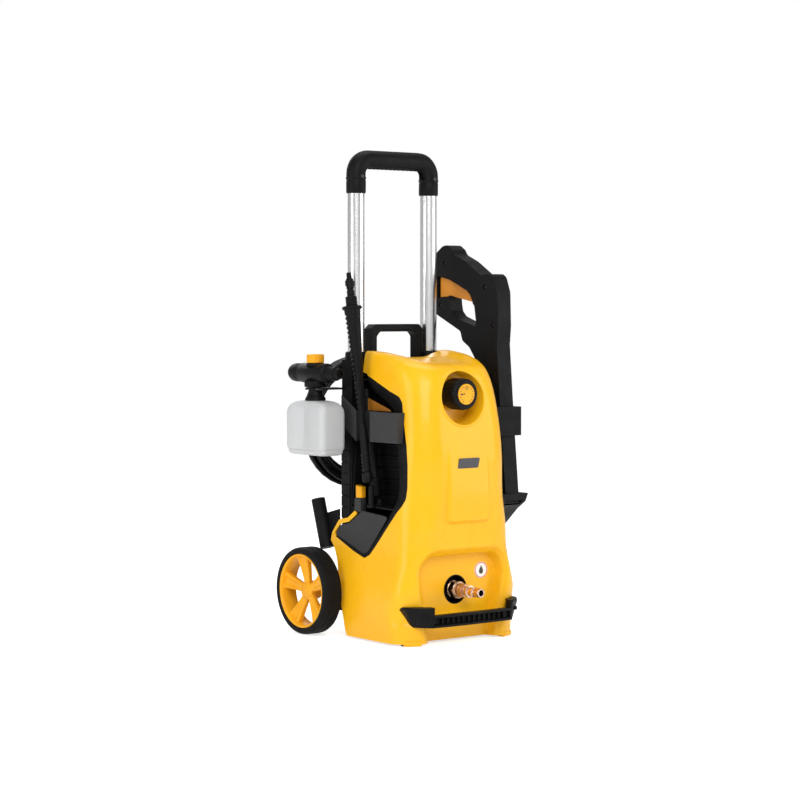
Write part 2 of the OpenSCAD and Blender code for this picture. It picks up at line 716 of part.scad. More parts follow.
front_cover();
side_trims();
pocket_plate();
side_liners();
rear_housing();
chassis_base();
bumper();
front_feet();
carry_handle();
tube_sleeves();
handle_tubes();
handle_grip();
grip_screws();
lock_buttons();
wheel_axle();
axle_clips();
tyre_left();
rim_left();
tyre_right();
rim_right();
power_knob();
knob_disc();
power_switch();
nameplate();
water_inlet();
inlet_nipple();
valve_head();
pump_body();
pistons();
piston_springs();
motor_housing();
motor_stator();
motor_rotor();
wobble_plate();
motor_fan();
motor_bearings();
run_capacitor();
inlet_pipe();
pressure_pipe();
hose_outlet();
cable_gland();
accessory_brackets();
gun_holder();
gun_shell_left();
gun_shell_right();
gun_barrel();
gun_trigger();
trigger_pin();
trigger_lock();
lance_body();
lance_nozzle();
turbo_lance();
foam_bottle();
foam_head();
foam_knob();
foam_nozzle();
spare_nozzle();
hose_coil();
hose_lead();
hose_end_fitting();
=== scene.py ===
import json
import math

import bmesh
import bpy
from mathutils import Matrix, Vector

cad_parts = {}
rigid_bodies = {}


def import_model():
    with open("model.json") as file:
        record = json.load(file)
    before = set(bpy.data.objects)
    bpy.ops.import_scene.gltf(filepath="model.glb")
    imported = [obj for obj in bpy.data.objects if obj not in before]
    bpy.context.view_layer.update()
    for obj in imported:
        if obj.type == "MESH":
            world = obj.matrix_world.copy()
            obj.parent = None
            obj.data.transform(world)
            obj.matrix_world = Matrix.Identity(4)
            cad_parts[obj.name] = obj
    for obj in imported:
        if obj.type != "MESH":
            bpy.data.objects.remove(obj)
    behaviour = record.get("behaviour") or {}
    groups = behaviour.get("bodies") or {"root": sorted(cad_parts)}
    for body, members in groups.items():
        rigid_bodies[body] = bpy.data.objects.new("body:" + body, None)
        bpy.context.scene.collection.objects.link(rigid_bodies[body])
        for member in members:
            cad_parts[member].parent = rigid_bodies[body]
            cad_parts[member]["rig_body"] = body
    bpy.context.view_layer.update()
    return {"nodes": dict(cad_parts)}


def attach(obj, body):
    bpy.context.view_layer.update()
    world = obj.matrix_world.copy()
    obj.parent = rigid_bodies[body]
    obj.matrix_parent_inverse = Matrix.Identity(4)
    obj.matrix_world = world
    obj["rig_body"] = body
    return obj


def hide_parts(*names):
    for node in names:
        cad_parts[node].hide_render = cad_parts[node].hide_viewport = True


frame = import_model()

# Lengths are in millimetres as in the CAD drawing, whose Y runs from a line near the middle of the
# machine; at() brings a point into the frame, in metres.
FRAME_Y = -12
UP = Vector((0, 0, 1))


def at(p):
    return Vector((p[0], p[1] + FRAME_Y, p[2])) * 0.001


# ---- camera ----

camera = bpy.data.objects.new("camera", bpy.data.cameras.new("camera"))
bpy.context.scene.collection.objects.link(camera)
camera.location = (-2.3486, -3.0187, 0.5657)
look = Vector((0.6088, 0.7934, -math.tan(math.radians(2.44))))
camera.rotation_euler = look.to_track_quat("-Z", "Y").to_euler()
camera.data.lens = 100.1
camera.data.sensor_width = 36
bpy.context.scene.camera = camera


# ---- materials ----

def link(tree, a, b):
    tree.links.new(a, b)


def noise(tree, coords, scale, detail=2.0, stretch=None):
    """A noise pattern with that many features to the metre."""
    if stretch:
        mapping = tree.nodes.new("ShaderNodeMapping")
        mapping.inputs["Scale"].default_value = stretch
        link(tree, coords, mapping.inputs["Vector"])
        coords = mapping.outputs["Vector"]
    node = tree.nodes.new("ShaderNodeTexNoise")
    node.inputs["Scale"].default_value = scale
    node.inputs["Detail"].default_value = detail
    link(tree, coords, node.inputs["Vector"])
    return node.outputs["Fac"]


def ramp(tree, value, a, b, low, high):
    """value, carried from the range a to b onto the range low to high."""
    node = tree.nodes.new("ShaderNodeMapRange")
    for key, number in zip(("From Min", "From Max", "To Min", "To Max"), (a, b, low, high)):
        node.inputs[key].default_value = number
    link(tree, value, node.inputs["Value"])
    return node.outputs["Result"]


def mix(tree, factor, a, b):
    """Colour a where factor is 0 and colour b where it is 1."""
    node = tree.nodes.new("ShaderNodeMix")
    node.data_type = "RGBA"
    link(tree, factor, node.inputs["Factor"])
    for socket, colour in ((node.inputs[6], a), (node.inputs[7], b)):
        if isinstance(colour, tuple):
            socket.default_value = (*colour, 1)
        else:
            link(tree, colour, socket)
    return node.outputs[2]


def edges(tree, radius):
    """1 along outer and inner edges, 0 on open faces."""
    bevel = tree.nodes.new("ShaderNodeBevel")
    bevel.samples = 4
    bevel.inputs["Radius"].default_value = radius
    geometry = tree.nodes.new("ShaderNodeNewGeometry")
    dot = tree.nodes.new("ShaderNodeVectorMath")
    dot.operation = "DOT_PRODUCT"
    link(tree, bevel.outputs["Normal"], dot.inputs[0])
    link(tree, geometry.outputs["Normal"], dot.inputs[1])
    return ramp(tree, dot.outputs["Value"], 0.99, 0.85, 0.0, 1.0)


def multiply(tree, a, b):
    node = tree.nodes.new("ShaderNodeMath")
    node.operation = "MULTIPLY"
    for socket, value in zip(node.inputs, (a, b)):
        if isinstance(value, (int, float)):
            socket.default_value = value
        else:
            link(tree, value, socket)
    return node.outputs[0]


def scaled(colour, k):
    return tuple(min(c * k, 1) for c in colour)


def surface(name, colour, rough, metal=0.0, tint=0.07, grain=1500, bump=0.15, wear=0.0,
            worn=None, coat=0.0, stretch=None, specular=0.5, swing=0.06, shade=None):
    """A procedural finish: mottled colour, uneven roughness, a fine grain and worn edges."""
    made = bpy.data.materials.new(name)
    made.use_nodes = True
    tree = made.node_tree
    shader = tree.nodes["Principled BSDF"]
    coords = tree.nodes.new("ShaderNodeTexCoord").outputs["Object"]
    broad = noise(tree, coords, 11, 3)
    colour_out = mix(tree, ramp(tree, broad, 0.35, 0.65, 0, 1),
                     shade or scaled(colour, 1 - tint), scaled(colour, 1 + tint))
    cloud = noise(tree, coords, 45, 4, stretch)
    rough_out = ramp(tree, cloud, 0.3, 0.7, rough - swing, rough + swing)
    if wear:
        patch = ramp(tree, noise(tree, coords, 130, 3), 0.42, 0.62, 0.15, 1)
        mask = multiply(tree, multiply(tree, edges(tree, 0.0012), patch), wear)
        colour_out = mix(tree, mask, colour_out, worn or scaled(colour, 1.8))
    link(tree, colour_out, shader.inputs["Base Color"])
    link(tree, rough_out, shader.inputs["Roughness"])
    shader.inputs["Metallic"].default_value = metal
    shader.inputs["Coat Weight"].default_value = coat
    shader.inputs["Coat Roughness"].default_value = 0.08
    shader.inputs["Specular IOR Level"].default_value = specular
    fine = noise(tree, coords, grain, 2, stretch)
    bumps = tree.nodes.new("ShaderNodeBump")
    bumps.inputs["Strength"].default_value = bump
    bumps.inputs["Distance"].default_value = 0.0004
    link(tree, fine, bumps.inputs["Height"])
    link(tree, bumps.outputs["Normal"], shader.inputs["Normal"])
    return made


YELLOW = (0.93, 0.485, 0.009)
YELLOW_SHADE = (0.92, 0.465, 0.008)
MATERIALS = {
    "cover_yellow": surface("cover_yellow", YELLOW, 0.3, shade=YELLOW_SHADE, grain=1400, bump=0.05,
                            wear=0.12, worn=(0.97, 0.62, 0.10), coat=0.12, tint=0.01,
                            specular=0.25),
    "rim_yellow": surface("rim_yellow", (0.90, 0.43, 0.012), 0.38, shade=(0.84, 0.37, 0.008),
                          bump=0.1, wear=0.2, worn=(0.8, 0.55, 0.2), tint=0.01, specular=0.25),
    "trigger_yellow": surface("trigger_yellow", (0.68, 0.25, 0.014), 0.42, bump=0.2, wear=0.3,
                              worn=(0.85, 0.45, 0.08)),
    "black_plastic": surface("black_plastic", (0.0055, 0.0055, 0.006), 0.42, tint=0.16, bump=0.35,
                             grain=2200, wear=0.3, worn=(0.045, 0.045, 0.047), swing=0.08,
                             specular=0.12),
    "housing_black": surface("housing_black", (0.0055, 0.0055, 0.006), 0.55, tint=0.18, bump=0.5,
                             grain=1300, wear=0.35, worn=(0.04, 0.04, 0.042), swing=0.08,
                             specular=0.12),
    "dark_grey_plastic": surface("dark_grey_plastic", (0.03, 0.03, 0.032), 0.5, tint=0.1, specular=0.3,
                                 bump=0.4, grain=1800, wear=0.35, worn=(0.12, 0.12, 0.125)),
    "badge_grey": surface("badge_grey", (0.045, 0.045, 0.05), 0.32, tint=0.1, bump=0.15,
                          wear=0.3, worn=(0.2, 0.2, 0.21)),
    "tube_aluminium": surface("tube_aluminium", (0.93, 0.93, 0.94), 0.24, metal=1.0, tint=0.03,
                              grain=2600, bump=0.12, stretch=(1, 1, 0.03), swing=0.07),
    "steel": surface("steel", (0.56, 0.56, 0.58), 0.3, metal=1.0, tint=0.06, grain=2400, bump=0.2,
                     wear=0.3, worn=(0.8, 0.8, 0.8), swing=0.1),
    "pump_aluminium": surface("pump_aluminium", (0.60, 0.61, 0.62), 0.48, metal=1.0, tint=0.08,
                              grain=900, bump=0.6, wear=0.3, worn=(0.85, 0.85, 0.85), swing=0.1),
    "brass": surface("brass", (0.55, 0.36, 0.24), 0.3, metal=1.0, tint=0.12, grain=1800, bump=0.25,
                     wear=0.5, worn=(0.85, 0.68, 0.5), swing=0.1),
    "nipple_brass": surface("nipple_brass", (0.78, 0.55, 0.45), 0.24, metal=1.0, tint=0.08,
                            grain=1800, bump=0.15, wear=0.5, worn=(0.95, 0.8, 0.7), swing=0.08),
    "tyre_rubber": surface("tyre_rubber", (0.007, 0.007, 0.0075), 0.62, tint=0.2, specular=0.12, grain=900,
                           bump=0.6, wear=0.3, worn=(0.045, 0.044, 0.042), swing=0.1),
    "hose_rubber": surface("hose_rubber", (0.007, 0.007, 0.0075), 0.38, tint=0.2, specular=0.25, grain=1500,
                           bump=0.3, swing=0.08),
    "copper_winding": surface("copper_winding", (0.62, 0.22, 0.09), 0.3, metal=1.0, tint=0.15,
                              grain=1100, bump=1.0, stretch=(1, 1, 0.05)),
    "inner_plastic": surface("inner_plastic", (0.5, 0.5, 0.47), 0.5, tint=0.08, bump=0.3,
                             wear=0.2, worn=(0.7, 0.7, 0.66)),
    "bottle_translucent": surface("bottle_translucent", (0.56, 0.57, 0.575), 0.42, tint=0.03,
                                  grain=700, bump=0.12, swing=0.05),
}
bottle_shader = MATERIALS["bottle_translucent"].node_tree.nodes["Principled BSDF"]
bottle_shader.inputs["Subsurface Weight"].default_value = 0.35
bottle_shader.inputs["Subsurface Radius"].default_value = (0.02, 0.02, 0.02)
label_white = surface("label_white", (0.85, 0.85, 0.83), 0.35, tint=0.03, bump=0.05)
label_red = surface("label_red", (0.62, 0.03, 0.03), 0.35, tint=0.06, bump=0.05)
# A darker orange copy of the cover's yellow: painted shade for the shaded side face of the shell at the top
# of the left window.
flank_painted_shade = surface("flank_painted_shade", (0.42, 0.15, 0.006), 0.4, shade=(0.12, 0.045, 0.004), bump=0.1)
dark_steel = surface("dark_steel", (0.06, 0.06, 0.065), 0.35, metal=1.0, grain=2400, bump=0.2)
mark_dark = surface("mark_dark", (0.03, 0.028, 0.02), 0.45, tint=0.1, bump=0.1)


# ---- shapes ----

def blend_at(a, b, t):
    """0 up to a and 1 past b, with a smooth change between; a may be the greater."""
    t = min(max((t - a) / (b - a), 0), 1)
    return t * t * (3 - 2 * t)


def fillet(points, radius, steps=5):
    """An outline with its corners rounded, all by one radius or each by its own."""
    out, n = [], len(points)
    for i, p in enumerate(points):
        r = radius[i] if isinstance(radius, (list, tuple)) else radius
        p = Vector(p)
        a, b = Vector(points[i - 1]) - p, Vector(points[(i + 1) % n]) - p
        half = a.angle(b) / 2
        if r <= 0 or half > 1.54:
            out.append(tuple(p))
            continue
        cut = min(r / math.tan(half), 0.48 * a.length, 0.48 * b.length)
        start, end = p + a.normalized() * cut, p + b.normalized() * cut
        for k in range(steps + 1):
            t = k / steps
            out.append(tuple(start * (1 - t) ** 2 + p * (2 * t * (1 - t)) + end * t * t))
    return out


def smooth_table(rows):
    """A smooth curve through a table of [height, value] rows."""
    x, y = [r[0] for r in rows], [r[1] for r in rows]
    d = [(y[i + 1] - y[i]) / (x[i + 1] - x[i]) for i in range(len(x) - 1)]
    m = [d[0]] + [0 if p * q <= 0 else 2 * p * q / (p + q) for p, q in zip(d, d[1:])] + [d[-1]]

    def value(t):
        t = min(max(t, x[0]), x[-1])
        i = max(k for k in range(len(d)) if x[k] <= t)
        h = x[i + 1] - x[i]
        s = (t - x[i]) / h
        return (y[i] * (1 + 2 * s) * (1 - s) ** 2 + m[i] * h * s * (1 - s) ** 2
                + y[i + 1] * s * s * (3 - 2 * s) + m[i + 1] * h * s * s * (s - 1))

    return value


def route(points, step=3.0):
    """A smooth route through points, with a point about every step."""
    p = [Vector(q) for q in points]
    p = [2 * p[0] - p[1]] + p + [2 * p[-1] - p[-2]]
    out = []
    for a, b, c, d in zip(p, p[1:], p[2:], p[3:]):
        n = max(2, round((c - b).length / step))
        for k in range(n):
            t = k / n
            out.append(0.5 * (2 * b + (c - a) * t + (2 * a - 5 * b + 4 * c - d) * t * t
                              + (3 * b - 3 * c + d - a) * t ** 3))
    return out + [p[-2]]


def turn_to(axis):
    return UP.rotation_difference(Vector(axis)).to_matrix().to_4x4()


class Shape:
    """Closed forms gathered into one mesh, in the drawing's millimetres."""

    def __init__(self):
        self.verts, self.faces = [], []

    def add(self, verts, faces, move=None):
        start = len(self.verts)
        self.verts += [move @ Vector(v) if move else Vector(v) for v in verts]
        self.faces += [[i + start for i in f] for f in faces]
        return self

    def loft(self, loops, caps=True, ring=False, around=True, move=None):
        n, k = len(loops[0]), len(loops)
        faces = []
        for j in range(k if ring else k - 1):
            a, b = j * n, (j + 1) % k * n
            faces += [(a + i, a + (i + 1) % n, b + (i + 1) % n, b + i)
                      for i in range(n if around else n - 1)]
        if caps and not ring:
            faces += [tuple(range(n))[::-1], tuple(range((k - 1) * n, k * n))]
        return self.add([p for loop in loops for p in loop], faces, move)

    def slab(self, outline, a, b, axis="x", move=None):
        """An outline drawn out along an axis from a to b."""
        put = {"x": lambda p, t: (t, p[0], p[1]), "y": lambda p, t: (p[0], t, p[1]),
               "z": lambda p, t: (p[0], p[1], t)}[axis]
        return self.loft([[put(p, t) for p in outline] for t in (a, b)], move=move)

    def box(self, low, high, move=None):
        return self.slab([(low[1], low[2]), (high[1], low[2]), (high[1], high[2]),
                          (low[1], high[2])], low[0], high[0], move=move)

    def turned(self, steps, base=(0, 0, 0), axis=(0, 0, 1), n=48, form=None, move=None):
        """[radius, height] steps turned round an axis; form(angle, r, h) may change the radius."""
        form = form or (lambda a, r, h: r)
        loops = []
        for r, h in steps:
            turns = [2 * math.pi * i / n for i in range(n)]
            loops.append([(form(a, r, h) * math.cos(a), form(a, r, h) * math.sin(a), h)
                          for a in turns])
        place = (move or Matrix()) @ Matrix.Translation(base) @ turn_to(axis)
        return self.loft(loops, move=place)

    def ring(self, steps, base=(0, 0, 0), axis=(0, 0, 1), n=48, move=None):
        """A closed profile of [radius, height] points turned round an axis."""
        loops = [[(r * math.cos(t), r * math.sin(t), h) for r, h in steps]
                 for t in (2 * math.pi * i / n for i in range(n))]
        place = (move or Matrix()) @ Matrix.Translation(base) @ turn_to(axis)
        return self.loft(loops, ring=True, move=place)

    def sweep(self, path, section, side=(1, 0, 0), ring=False, move=None):
        """A section of (u, v) points carried along a path; u starts along side."""
        p = [Vector(q) for q in path]
        n = len(p)
        u = Vector(side)
        loops = []
        for i in range(n):
            if ring:
                t = p[(i + 1) % n] - p[i - 1]
            else:
                t = p[min(i + 1, n - 1)] - p[max(i - 1, 0)]
            t.normalize()
            u = (u - t * u.dot(t)).normalized()
            v = t.cross(u)
            points = section(i / (n - 1)) if callable(section) else section
            loops.append([p[i] + u * a + v * b for a, b in points])
        return self.loft(loops, ring=ring, move=move)

    def screw(self, place, axis, r=3.2, depth=1.2):
        """A cross-head screw whose head sits at place and faces along axis."""
        steps = [[r * 0.55, -3], [r, -3], [r, depth * 0.4], [r * 0.86, depth], [r * 0.5, depth],
                 [r * 0.42, depth * 0.15], [0.05, depth * 0.1]]
        cross = lambda a, q, h: q * (1 - 0.45 * abs(math.sin(2 * a))) if q <= r * 0.5 else q
        return self.turned(steps, place, axis, 24, cross)


def put(obj, slot=None, body="root", replaces=(), bevel=0.0, segments=2, sharp=32, material=None):
    """Gives a new object its finish, its body and its shading."""
    mesh = obj.data
    if obj.type == "MESH":
        bm = bmesh.new()
        bm.from_mesh(mesh)
        bmesh.ops.remove_doubles(bm, verts=bm.verts, dist=2e-6)
        bmesh.ops.dissolve_degenerate(bm, edges=bm.edges, dist=1e-6)
        bmesh.ops.recalc_face_normals(bm, faces=bm.faces)
        bm.to_mesh(mesh)
        bm.free()
        mesh.shade_smooth()
        mesh.set_sharp_from_angle(angle=math.radians(sharp))
        if bevel:
            mod = obj.modifiers.new("edges", "BEVEL")
            mod.width = bevel * 0.001
            mod.segments = segments
            mod.limit_method = "ANGLE"
            mod.angle_limit = math.radians(sharp)
            mod.harden_normals = True
    mesh.materials.clear()
    mesh.materials.append(material or MATERIALS[slot])
    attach(obj, body)
    if replaces:
        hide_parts(*([replaces] if isinstance(replaces, str) else replaces))
    return obj


def new_object(name, shape):
    mesh = bpy.data.meshes.new(name)
    mesh.from_pydata([at(v) for v in shape.verts], [], shape.faces)
    obj = bpy.data.objects.new(name, mesh)
    bpy.context.scene.collection.objects.link(obj)
    return obj


def piece(name, shape, slot, **more):
    return put(new_object(name, shape), slot, **more)


def bake(obj):
    """Turns an object's modifiers into its mesh."""
    bpy.context.view_layer.update()
    done = bpy.data.meshes.new_from_object(obj.evaluated_get(bpy.context.evaluated_depsgraph_get()))
    old = obj.data
    obj.modifiers.clear()
    obj.data = done
    bpy.data.meshes.remove(old)
    return obj


def carve(obj, shape, operation="DIFFERENCE"):
    """Cuts a shape out of an object, or keeps only what lies inside it."""
    tool = new_object("tool", shape)
    for o in (obj, tool):
        bm = bmesh.new()
        bm.from_mesh(o.data)
        bmesh.ops.recalc_face_normals(bm, faces=bm.faces)
        bm.to_mesh(o.data)
        bm.free()
    mod = obj.modifiers.new("cut", "BOOLEAN")
    mod.operation = operation
    mod.solver = "EXACT"
    mod.object = tool
    bake(obj)
    bpy.data.objects.remove(tool)
    return obj


def from_cad(node, slot=None, bevel=0.6, segments=2, name=None, **more):
    """A copy of a CAD node's mesh with its edges rounded, standing for the node."""
    source = frame["nodes"][node]
    obj = bpy.data.objects.new(name or node + "_look", source.data.copy())
    bpy.context.scene.collection.objects.link(obj)
    bm = bmesh.new()
    bm.from_mesh(obj.data)
    bmesh.ops.remove_doubles(bm, verts=bm.verts, dist=2e-6)
    bmesh.ops.dissolve_limit(bm, angle_limit=math.radians(1.0), verts=bm.verts, edges=bm.edges)
    bm.to_mesh(obj.data)
    bm.free()
    return put(obj, slot, body=source["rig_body"], replaces=node, bevel=bevel, segments=segments,
               **more)


# ---- hose ----

LEAD = [(40, 97, 150), (40, 105, 150), (40, 112, 150), (41, 124, 150), (45, 136, 152),
        (52, 147, 159), (60, 155, 171), (66, 160, 187), (69, 162, 204), (68, 162, 221),
        (61, 162, 237), (50, 162, 248), (36, 162, 255)]
COIL = (-10, 162, 362)
LAYERS = [(110, 162), (110, 152.8), (100.8, 152.8), (100.8, 162), (91.6, 162), (91.6, 171.2),
          (100.8, 171.2), (110, 171.2)]


def hose_points():
    points = [Vector(p) for p in LEAD[2:]]
    start, total = -66.6, 8 * 360 + (-66.6)
    steps = int(total // 9)
    for k in range(1, steps + 1):
        turned = k * 9.0
        where = turned / 360
        i = min(int(where), 7)
        fade = blend_at(0.93, 1.0, where - i) if i < 7 else 0
        r0, y0 = LAYERS[i]
        r1, y1 = LAYERS[min(i + 1, 7)]
        r = r0 + (r1 - r0) * fade
        y = y0 + (y1 - y0) * fade
        angle = math.radians(start - turned)
        if i == 0:
            lower_left = max(0, math.cos(angle - math.radians(215)))
            r += 8.0 * lower_left ** 2 * (1 - fade)
        if turned < 30:
            r += 5 * (1 - turned / 30) ** 2
        points.append(Vector((COIL[0] + r * math.cos(angle), y, COIL[2] + r * math.sin(angle))))
    for x, y, z in ((101, 168, 342), (102, 164.5, 324), (102, 162.6, 306), (102, 162, 288),
                    (102, 162, 272), (102, 162, 256), (102, 162, 240)):
        points.append(Vector((x, y, z)))
    return points


def hose_curve():
    curve = bpy.data.curves.new("hose", "CURVE")
    curve.dimensions = "3D"
    curve.bevel_depth = 0.0045
    curve.bevel_resolution = 4
    points = hose_points()
    spline = curve.splines.new("POLY")
    spline.points.add(len(points) - 1)
    for target, p in zip(spline.points, points):
        target.co = (*at(p), 1)
    spline.use_smooth = True
    obj = bpy.data.objects.new("hose", curve)
    bpy.context.scene.collection.objects.link(obj)
    return put(obj, "hose_rubber", replaces=("hose_coil", "hose_lead"))


hose = hose_curve()

end_fitting = Shape()
end_fitting.turned([[6.2, 240.5], [6.6, 240.5], [7.6, 238], [8, 236], [8, 219], [7.4, 216.5],
                    [8.6, 216], [10, 215], [10, 211], [9.4, 210], [10, 209], [10, 196],
                    [9.2, 190], [6, 190], [5.4, 194], [0.1, 194]], (102, 162, 0), n=40,
                   form=lambda a, r, h: r - (0.7 * (math.cos(12 * a) > 0) if 197 < h < 209.5 else 0))
fitting = piece("hose_end_fitting_look", end_fitting, "brass", replaces="hose_end_fitting")

outlet = Shape()
outlet.turned([[8, -7], [8, 0], [12, 0], [12, 4], [10, 4.6]], (40, 97, 150), (0, 1, 0), 6)
outlet.turned([[8.6, 4], [10, 5], [10, 8], [9, 9], [10, 10], [10, 13.4], [8.6, 15], [5, 15]],
              (40, 97, 150), (0, 1, 0))
piece("hose_outlet_look", outlet, "brass", replaces="hose_outlet", bevel=0.4)

# ---- the yellow cover ----

WIDTHS = [[0, 128], [60, 128], [90, 126], [150, 113], [200, 111], [300, 103], [364, 98],
          [400, 96], [430, 94], [455, 92], [470, 90], [480, 88], [486, 84]]
FRONTS = [[0, -120], [60, -121], [90, -121], [150, -122], [200, -129], [300, -132], [364, -126],
          [400, -121], [430, -117], [455, -108], [470, -92], [480, -62], [486, -20]]
CORNERS = [[0, 45], [60, 40], [90, 32], [150, 38], [200, 50], [250, 58], [300, 53], [364, 46],
           [400, 48], [430, 54], [455, 60], [470, 62], [480, 62], [486, 60]]
COVER_SIDE = [(-180, -5), (32, -5), (34, 0), (41, 13), (49, 44), (58, 78), (66, 103), (78, 127),
              (95, 152), (104, 161), (100, 175), (81, 198), (56, 203), (32, 220), (24, 222),
              (24, 449), (37, 452), (37, 500), (-180, 500)]
WINDOW = [(60, 459), (24, 447), (-40, 422), (-68, 413), (-77, 403), (-80, 385), (-93, 332),
          (-97, 300), (-98, 262), (-96, 243), (-90, 232), (-73, 213), (-31, 167), (-10, 145),
          (4, 138), (38, 147.5), (90, 168), (94, 174), (78, 191), (54, 196), (28, 213), (60, 222)]
WINDOW_ROUND = [0, 0, 12, 10, 10, 12, 20, 20, 14, 10, 14, 14, 16, 8, 8, 12, 5, 5, 5, 5, 5, 0]
RECESS_Z = 410.5
RECESS_X = -2
KNOB_Z = 417
RECESS_R = 45
INLET_Z = 87
width_at, front_at, corner_at = (smooth_table(t) for t in (WIDTHS, FRONTS, CORNERS))


def skin_x(y, z):
    """Half the width of the cover at y and z."""
    w, f, r = width_at(z), front_at(z), corner_at(z)
    return w if y >= f + r else w - r + math.sqrt(max(r * r - (y - f - r) ** 2, 0))


def skin_y(x, z):
    """Y of the front of the cover at x and z."""
    w, f, r = width_at(z), front_at(z), corner_at(z)
    d = abs(x) - (w - r)
    return f if d <= 0 else f + r - math.sqrt(max(r * r - d * d, 0))


def rounded_box_distance(x, z, half_x, half_z, r):
    qx, qz = abs(x) - half_x + r, abs(z) - half_z + r
    return math.hypot(max(qx, 0), max(qz, 0)) + min(max(qx, qz), 0) - r


def cover_form(x, y, z):
    """Where a point of the plain skin goes: the inset arch, its hood, the raised panel, the horns."""
    if y < -60 and z < 400:
        narrow = 20 * min(max((117 - z) / 127, 0), 1)
        arch = rounded_box_distance(x, z + 53, 87 - narrow, 200, 30)
        above = blend_at(105, 145, z)
        y -= 4.0 * above * math.exp(-max(arch - 14, 0) / 17) * blend_at(2, 14, arch)
        y -= 1.6 * (1 - above) * math.exp(-((arch - 15) / 8) ** 2)
        y += 4.5 * blend_at(14, 1, arch)
        y += max(-99 - y, 0) * blend_at(2.5, -3.5, arch)
        panel = rounded_box_distance(x - 1, z - 271, 47 - 3 * (z - 200) / 130, 70, 11)
        y -= 7.5 * blend_at(0.5, -5.5, panel) * (1 - blend_at(225, 336, z))
        corner = abs(x) - 100 - 0.25 * (z - 60)
        y += 5.0 * blend_at(-13, -8, -abs(z - 50) * 0.75) * blend_at(-6, 2, corner) * (z > 8)
    dip = 10 * (1 - blend_at(34, 76, abs(x))) * blend_at(456, 486, z)
    rise = 2.0 * blend_at(60, 80, abs(x)) * blend_at(470, 486, z)
    return (x, y, z - dip + rise)


def cover_skin():
    side, bend, across = 26, 18, 76
    heights = [4 + 2.6 * i for i in range(170)] + [446 + 1.6 * i for i in range(22)]
    heights += [481, 482.4, 483.6, 484.6, 485.4, 486]
    rows = []
    for z in heights:
        w, f, r = width_at(z), front_at(z), corner_at(z)
        left = [(-w, 112 + (f + r - 112) * i / side) for i in range(side)]
        left += [(-(w - r + r * math.cos(t)), f + r - r * math.sin(t))
                 for t in (math.pi / 2 * i / bend for i in range(bend))]
        front = [(-(w - r) + 2 * (w - r) * i / across, f) for i in range(across + 1)]
        rows.append([(x, y, z) for x, y in left + front + [(-x, y) for x, y in left[::-1]]])
    skin = Shape().loft(rows, caps=False, around=False)
    last = rows[-1]
    roof = []
    for i in range(side + bend + 1):
        x, y, z = last[i]
        roof.append([(x - 2 * x * k / across, y, z) for k in range(across + 1)])
    skin.loft(roof, caps=False, around=False)
    skin.verts = [Vector(cover_form(*v)) for v in skin.verts]
    return skin


def make_cover():
    obj = new_object("cover_shell", cover_skin())
    bm = bmesh.new()
    bm.from_mesh(obj.data)
    bmesh.ops.remove_doubles(bm, verts=bm.verts, dist=2e-5)
    top = [v for v in bm.verts if v.co.z > 0.466]
    for _ in range(6):
        bmesh.ops.smooth_vert(bm, verts=top, factor=0.5, use_axis_x=True, use_axis_y=True,
                              use_axis_z=True)
    bmesh.ops.recalc_face_normals(bm, faces=bm.faces)
    bm.to_mesh(obj.data)
    bm.free()
    front = min(obj.data.polygons, key=lambda p: p.center.y)
    thick = obj.modifiers.new("wall", "SOLIDIFY")
    thick.thickness = 0.003
    thick.offset = -1 if front.normal.y < 0 else 1
    bake(obj)
    carve(obj, Shape().slab(fillet(COVER_SIDE, 3, 3), -140, 140), "INTERSECT")
    cuts = Shape().slab(fillet(WINDOW, WINDOW_ROUND), -140, 140)
    cuts.turned([[RECESS_R + 1, -200], [RECESS_R + 1, -70]], (RECESS_X, 0, RECESS_Z), (0, 1, 0), 72)
    cuts.turned([[23.3, -130], [23.3, -85]], (0, 0, INLET_Z), (0, 1, 0), 48)
    carve(obj, cuts)
    return put(obj, "cover_yellow", replaces="front_cover", sharp=40)


make_cover()

# ---- side frames, pocket plate and the lance recess ----

# Matched chains of [Y, Z] down the frame of each side window: its outer edge, its inner edge, and
# how far the inner edge lies inwards.
FRAME_OUT = WINDOW[1:17]
FRAME_IN = [(24, 424), (-16, 406), (-36, 395), (-43, 387), (-46, 375), (-56, 334), (-64, 303),
            (-70, 268), (-70, 250), (-66, 237), (-54, 218), (-22, 174), (-4, 152), (5, 146.5),
            (39, 153), (88, 171)]
FRAME_DEEP = [10, 10, 10, 10, 10, 10, 10, 10, 10, 10, 8, 3, 2, 2, 2, 2]


CORNER_SHARE = 0.25
CORNER_MOST = 7


def softened(rows, rounds=3):
    """A chain with its corners cut again and again, its ends kept."""
    rows = [Vector(r) for r in rows]
    for _ in range(rounds):
        cut = [rows[0]]
        for i, (a, b) in enumerate(zip(rows, rows[1:])):
            reach = min(CORNER_SHARE, CORNER_MOST / max((b - a).length, 1e-6))
            if i:
                cut.append(a.lerp(b, reach))
            if i < len(rows) - 2:
                cut.append(a.lerp(b, 1 - reach))
        rows = cut + [rows[-1]]
    return rows


def window_frame(side):
    """The frame's section at each step down the chain: a flat lip, a slope inwards and its back."""
    outer = softened([Vector((*o, 0)) for o in FRAME_OUT])
    inner = softened([Vector((*n, d)) for n, d in zip(FRAME_IN, FRAME_DEEP)])
    loops = []
    for o, n in zip(outer, inner):
        lip = o.lerp(n, 0.3)
        x0, x1 = skin_x(o.x, o.y) - 0.4, skin_x(lip.x, lip.y) - 0.5 - 0.12 * n.z
        x2 = skin_x(n.x, n.y) - n.z
        loops.append([(side * (x0 - 2.4), o.x, o.y), (side * x0, o.x, o.y),
                      (side * x1, lip.x, lip.y), (side * x2, n.x, n.y),
                      (side * (x2 - 5), n.x, n.y),
                      (side * (x2 - 5), n.x + 0.2 * (o.x - n.x), n.y + 0.2 * (o.y - n.y))])
    return loops


